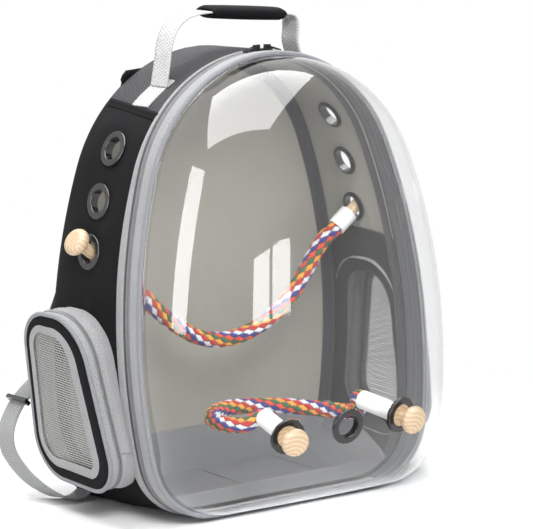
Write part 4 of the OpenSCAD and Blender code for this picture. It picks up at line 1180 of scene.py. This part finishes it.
DEPTH, WEB_T, WEB_W, STRAP_L, TAB_HALF = 57.0, 1.6, 25.6, 58.0, 13
FOLD_A, FOLD_R = math.radians(56), 1.65 + 0.3 + WEB_T / 2
LEAN_A = math.radians(5)
along_depth = direction(0, 0, -1).normalized()
fold_x, fold_h = (TOP_R + FOLD_R) * math.cos(FOLD_A), ARCH_H + (TOP_R + FOLD_R) * math.sin(FOLD_A)
rise_x, rise_h = STRAP_L * math.sin(LEAN_A), STRAP_L * math.cos(LEAN_A)
core_h = fold_h + rise_h + WEB_T / 2 + 0.3
GRIP_X, GRIP_L, SLOPE = rise_x + 14, 86.0, math.radians(-8.7)
grip_h = core_h - 3


def on_grip(along, lift=0.0, back_by=0.0):
    """A point of the sagging grip: along it from its middle, above its middle line and back."""
    return world(GRIP_X + along * math.cos(SLOPE) - lift * math.sin(SLOPE),
                 grip_h + along * math.sin(SLOPE) + lift * math.cos(SLOPE), -DEPTH - back_by)


def handle_route(points):
    return [world(x, h, -DEPTH) for x, h in points]


for sign, side in SIDES:
    crease = arch_s(90 - sign * 31)
    first, last = sorted((arch_s(90 - sign * 44.5), arch_s(90 - sign * 30)))
    slant = lambda s, d: d + 7 * min(1.0, abs(s - crease) / 33)
    tab = rim_band("handle_tab_" + side, [(1.0, DEPTH - TAB_HALF), (1.0, DEPTH),
            (1.0, DEPTH + TAB_HALF)], white_web, "shell", 1.4, first, last, 24, shift=slant)
    if side == "left":
        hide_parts("handle_tabs")
left_turn = [(-fold_x - 0.6, fold_h - 1.2), (-fold_x + 4.5, fold_h + 18), (-fold_x + 8.5, fold_h + 35),
             (-fold_x + 15, fold_h + 49), (-fold_x + 27, fold_h + 59), (-fold_x + 42, grip_h + 6.6),
             (-fold_x + 61, grip_h + 6.4)]
left_strap, _ = strip("handle_webbing_left", handle_route(left_turn), along_depth, white_web, None,
                      WEB_W, WEB_T, steps=90)
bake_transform(left_strap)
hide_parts("handle_strap_left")
right_turn = [(fold_x, fold_h - 0.9), (fold_x - 6, fold_h + 10), (fold_x - 8.5, fold_h + 22),
              (fold_x - 7, fold_h + 32), (fold_x - 6.5, fold_h + 40)]
right_strap, _ = strip("handle_webbing_right", handle_route(right_turn), along_depth, white_web,
                       "handle_strap_right", WEB_W, WEB_T, steps=50)
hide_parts("handle_strap_right")
through = [on_grip(-GRIP_L / 2 - 3), on_grip(-GRIP_L / 4), on_grip(GRIP_L / 4), on_grip(GRIP_L / 2 - 2),
           on_grip(GRIP_L / 2 + 4, 0.4), world(fold_x - 9, fold_h + 46.5, -DEPTH),
           world(fold_x - 6.2, fold_h + 41, -DEPTH), world(fold_x - 6.3, fold_h + 34, -DEPTH)]
core, _ = strip("handle_top_webbing", through, along_depth, white_web, "handle_grip", 25.0, WEB_T,
                steps=120)
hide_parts("handle_core")


def boxy(value, power):
    """A sine or cosine pressed towards the corners of a box."""
    return math.copysign(abs(value) ** power, value)


def place_grip(u, v):
    end = min(u, 1 - u) * GRIP_L
    full = min(1.0, end / 5) ** 0.5
    half_w, half_t = 13.9 + 1.0 * full, 2.4 + 3.3 * full + 0.5 * math.sin(math.pi * u)
    a = 2 * math.pi * v
    c, s = math.cos(a), math.sin(a)
    w = half_w * boxy(c, 0.6)
    t = half_t * boxy(s, 0.8)
    return on_grip(GRIP_L * (u - 0.5), t, w)


grip = cloth("handle_sleeve", (70, 40), place_grip, (GRIP_L * MM, 0.075), black_cloth, "handle_grip",
             0.8)
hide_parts("handle_grip")

print("handle grip", GRIP_L, "mm long on straps of", STRAP_L, "mm")

# %% [markdown]
# ## Back pad and shoulder straps
# The back carries a quilted cushion. Two padded straps start on a patch high on the back, swing
# out and down, and run on as webbing through a buckle to a tab on each lower corner.

# %% Back pad
def place_back_pad(u, v):
    a, b = 2 * u - 1, 2 * v - 1
    z = 200 + b * 130
    half = min(rim_at(rim_s(max(66, z + 10)))[0], 166) - 26
    round_off = 1 - 0.12 * (abs(a) ** 6) * (abs(b) ** 6)
    pillow = math.sqrt(max(0, 1 - a**4)) * math.sqrt(max(0, 1 - b**4))
    crown = pillow * (1 - 0.45 * math.exp(-(((abs(a) - 0.36) / 0.07) ** 2)))
    edge = min(1.0, (1 - abs(a)) * 14, (1 - abs(b)) * 14)
    dimple = noise.noise(Vector((a * 3, b * 4, 2.2))) * 0.5
    return Vector((a * half * round_off, 160.2 + 1.8 * math.sqrt(edge) + (9 + dimple) * crown,
                   200 + b * 130 * round_off))


def place_patch(u, v):
    half = 74 + 10 * v - 14 * max(0, v - 0.8) / 0.2 * 0.6
    return Vector(((2 * u - 1) * half, 161.4 + 0.5 * math.sin(math.pi * v), 372 + 32 * v))


cushion = cloth("back_cushion", (90, 90), place_back_pad, (0.28, 0.26), pad_cloth, "shell", 1.0)
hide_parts("back_pad")
patch = cloth("strap_patch", (24, 8), place_patch, (0.16, 0.032), black_cloth, "shell", 2.2)
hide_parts("strap_anchor")

print("back cushion", len(cushion.data.polygons), "faces")

# %% [markdown]
# ### Shoulder straps
# Each strap is a flat padded tube that narrows downward, edged with tape, and then plain webbing
# that hangs to the floor and turns back to a tab. The photo shows only its lower end at the left.

# %% Shoulder straps
PAD_STEPS, PAD_WIDE, PAD_NARROW = 110, 62, 42
PAD_ROUTE = [(-48, 166.2, 394), (-50, 170, 366), (-58, 183, 322), (-74, 192, 274), (-91, 197, 228),
             (-109, 200, 182), (-127, 201, 146), (-139, 201, 120)]
WEB_ROUTE = [(-147, 201, 112.5), (-166, 203, 98), (-182, 203, 82), (-193, 200, 63), (-194, 195, 44),
             (-188, 182, 26), (-180, 167, 14), (-170, 154, 6), (-158, 147.5, 2), (-148, 147, 2.6)]
web_up = Vector((0, math.cos(LEAN), -math.sin(LEAN)))
corner_a = math.radians(-46)
anchor = world(-CORNER_X - (CORNER_R + 1.9) * math.cos(corner_a),
               CORNER_R + (CORNER_R + 1.9) * math.sin(corner_a), -146)
for sign, side in SIDES:
    flip = lambda p: Vector((-sign * p[0], p[1], p[2]))
    path, length = smooth_route([flip(p) for p in PAD_ROUTE], PAD_STEPS)
    rows = frames_along(path, (0, 1, 0))

    def place_pad(u, v):
        p, across, lift = rows[round(u * PAD_STEPS)]
        width = PAD_WIDE + (PAD_NARROW - PAD_WIDE) * u**2
        end = min(u, 1 - u) * length
        full = min(1.0, end / 14) ** 0.5
        a = 2 * math.pi * v
        c, s = math.cos(a), math.sin(a)
        w = width / 2 * boxy(c, 0.45) * (0.9 + 0.1 * full)
        t = (1.6 + 4.4 * full) * boxy(s, 0.7) * (1 - 0.45 * abs(c) ** 6)
        return p + across * w + lift * t

    pad = cloth("shoulder_pad_" + side, (PAD_STEPS, 48), place_pad, (length * MM, 0.13), pad_cloth,
                "shell")
    round_caps(pad)
    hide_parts("strap_pad_" + side)
    strip("pad_edge_tape_" + side, [p + across * (31 - 10 * (i / PAD_STEPS) ** 2) * 0.99 for i,
            (p, across, lift) in enumerate(rows)][2:-2:4], None, dark_band, "shell", 5.0, 0.8,
          up=(0, 1, 0), steps=80)
    route = [flip(p) for p in [PAD_ROUTE[-1], *WEB_ROUTE, anchor]]
    webbing, _ = strip("strap_webbing_soft_" + side, route, None, gray_web, "shell", 25.0, 1.5,
                       up=web_up, steps=160)
    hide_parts("strap_webbing_" + side)
    first, last = sorted((sign * (CORNER_X + 35.7), sign * (CORNER_X + 70.8)))
    tab = rim_band("corner_tab_" + side, [(0.7, 130), (0.8, 145), (0.7, 158)], black_cloth, "shell",
                   1.2, first, last, 24)
    if side == "left":
        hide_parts("strap_tabs")
print("straps made")

# %% [markdown]
# ## CAD pieces that stay
# Eyelets, washers, sleeves, knobs, sliders, pulls, buckles and the tray are rigid, so their CAD
# meshes are kept and only get materials. Each knob's wood rings turn about that knob's own axis.

# %% Materials on CAD pieces
def dress(material, *names):
    for name in names:
        frame["nodes"][name].data.materials.clear()
        frame["nodes"][name].data.materials.append(material)


dress(gloss_black, "side_eyelets", "front_eyelets", "front_washers", "side_washers", "strap_buckles")
dress(white_plastic, "side_perch_ferrules", "front_perch_ferrules")
dress(dark_metal, "zip_slider_left", "zip_slider_right", "zip_pull_left", "zip_pull_right",
      "pocket_sliders")
dress(tray_gray, "floor_tray")
for sign, side in SIDES:
    centre, inward = side_ends[0 if sign > 0 else 1]
    dress(wood_material("side knob wood " + side, (centre - FOOT) * MM, -inward), "side_knob_" + side)
    centre, inward = front_ends[2 if sign > 0 else 0]
    dress(wood_material("front knob wood " + side, (centre - FOOT) * MM, -inward), "front_knob_" + side)

print("CAD pieces dressed")

# %% [markdown]
# ## Studio
# A pale floor, a soft key light from the upper front left and a soft top light from behind. Four
# more panels show only in gloss and give the dome its highlights: one overhead, one at the left and
# two small panes in front. The world is plain white for the camera and in reflections, and dimmer
# for everything else, so the contact shadow on the floor stays.

# %% Light and stage
def soft_light(name, place_at, target, size, energy, gloss_only=False):
    light = bpy.data.lights.new(name, "AREA")
    light.shape, light.size, light.size_y, light.energy = "RECTANGLE", size[0], size[1], energy
    obj = bpy.data.objects.new(name, light)
    obj.location = place_at
    obj.rotation_mode = "QUATERNION"
    obj.rotation_quaternion = (Vector(place_at) - Vector(target)).to_track_quat("Z", "Y")
    obj.visible_diffuse = not gloss_only
    obj.visible_glossy = obj.visible_transmission = gloss_only
    scene.collection.objects.link(obj)
    return obj


soft_light("key", (-0.9, -2.0, 2.1), (0, 0, 0.2), (1.1, 1.2), 66)
soft_light("top", (0.1, 0.8, 2.4), (0, 0, 0.2), (2.2, 1.6), 66)
overhead = soft_light("overhead panel", (-0.05, -0.12, 2.15), (-0.05, -0.12, 0.2), (2.4, 2.7), 150,
                      True)
overhead.rotation_quaternion = Matrix.Rotation(azimuth, 3, "Z").to_quaternion()
soft_light("left panel", (-2.25, -0.42, 0.85), (0, 0, 0.3), (1.0, 1.6), 45, True)
for across in (-0.27, 0.22):
    soft_light("front pane", (across, -2.35, 0.28), (across * 0.8, 0, 0.25), (0.42, 0.4), 5, True)

paper, tree, shader = new_material("white paper", 0.9)
where = add(tree, "ShaderNodeTexCoord").outputs["Object"]
grain = noise_at(tree, where, 40.0)
tree.links.new(mix(tree, grain, (0.9, 0.9, 0.9, 1), (0.93, 0.93, 0.93, 1)), shader.inputs["Base Color"])
far = add(tree, "ShaderNodeVectorMath", {0: where}, operation="LENGTH").outputs[1]
fade = add(tree, "ShaderNodeMapRange", {0: far, 1: 0.2, 2: 0.5},
           interpolation_type="SMOOTHSTEP").outputs[0]
seen = seen_rays(tree)
white = add(tree, "ShaderNodeEmission", {0: (1, 1, 1, 1), 1: 1.0}).outputs[0]
both = add(tree, "ShaderNodeMixShader", {0: math_node(tree, "MULTIPLY", seen, fade),
        1: shader.outputs[0], 2: white}).outputs[0]
tree.links.new(both, tree.nodes["Material Output"].inputs[0])
bm = bmesh.new()
bmesh.ops.create_grid(bm, x_segments=2, y_segments=2, size=3.0)
floor_mesh = bpy.data.meshes.new("floor")
bm.to_mesh(floor_mesh)
bm.free()
floor_mesh.materials.append(paper)
floor = bpy.data.objects.new("floor", floor_mesh)
scene.collection.objects.link(floor)
floor.location.z = -0.001

world_light = bpy.data.worlds.new("studio")
scene.world = world_light
world_light.use_nodes = True
tree = world_light.node_tree
seen = seen_rays(tree)
strength = add(tree, "ShaderNodeMapRange", {0: seen, 3: 0.42, 4: 1.0}).outputs[0]
tree.nodes["Background"].inputs[0].default_value = (1, 1, 1, 1)
tree.links.new(strength, tree.nodes["Background"].inputs[1])
scene.view_settings.view_transform = "Standard"
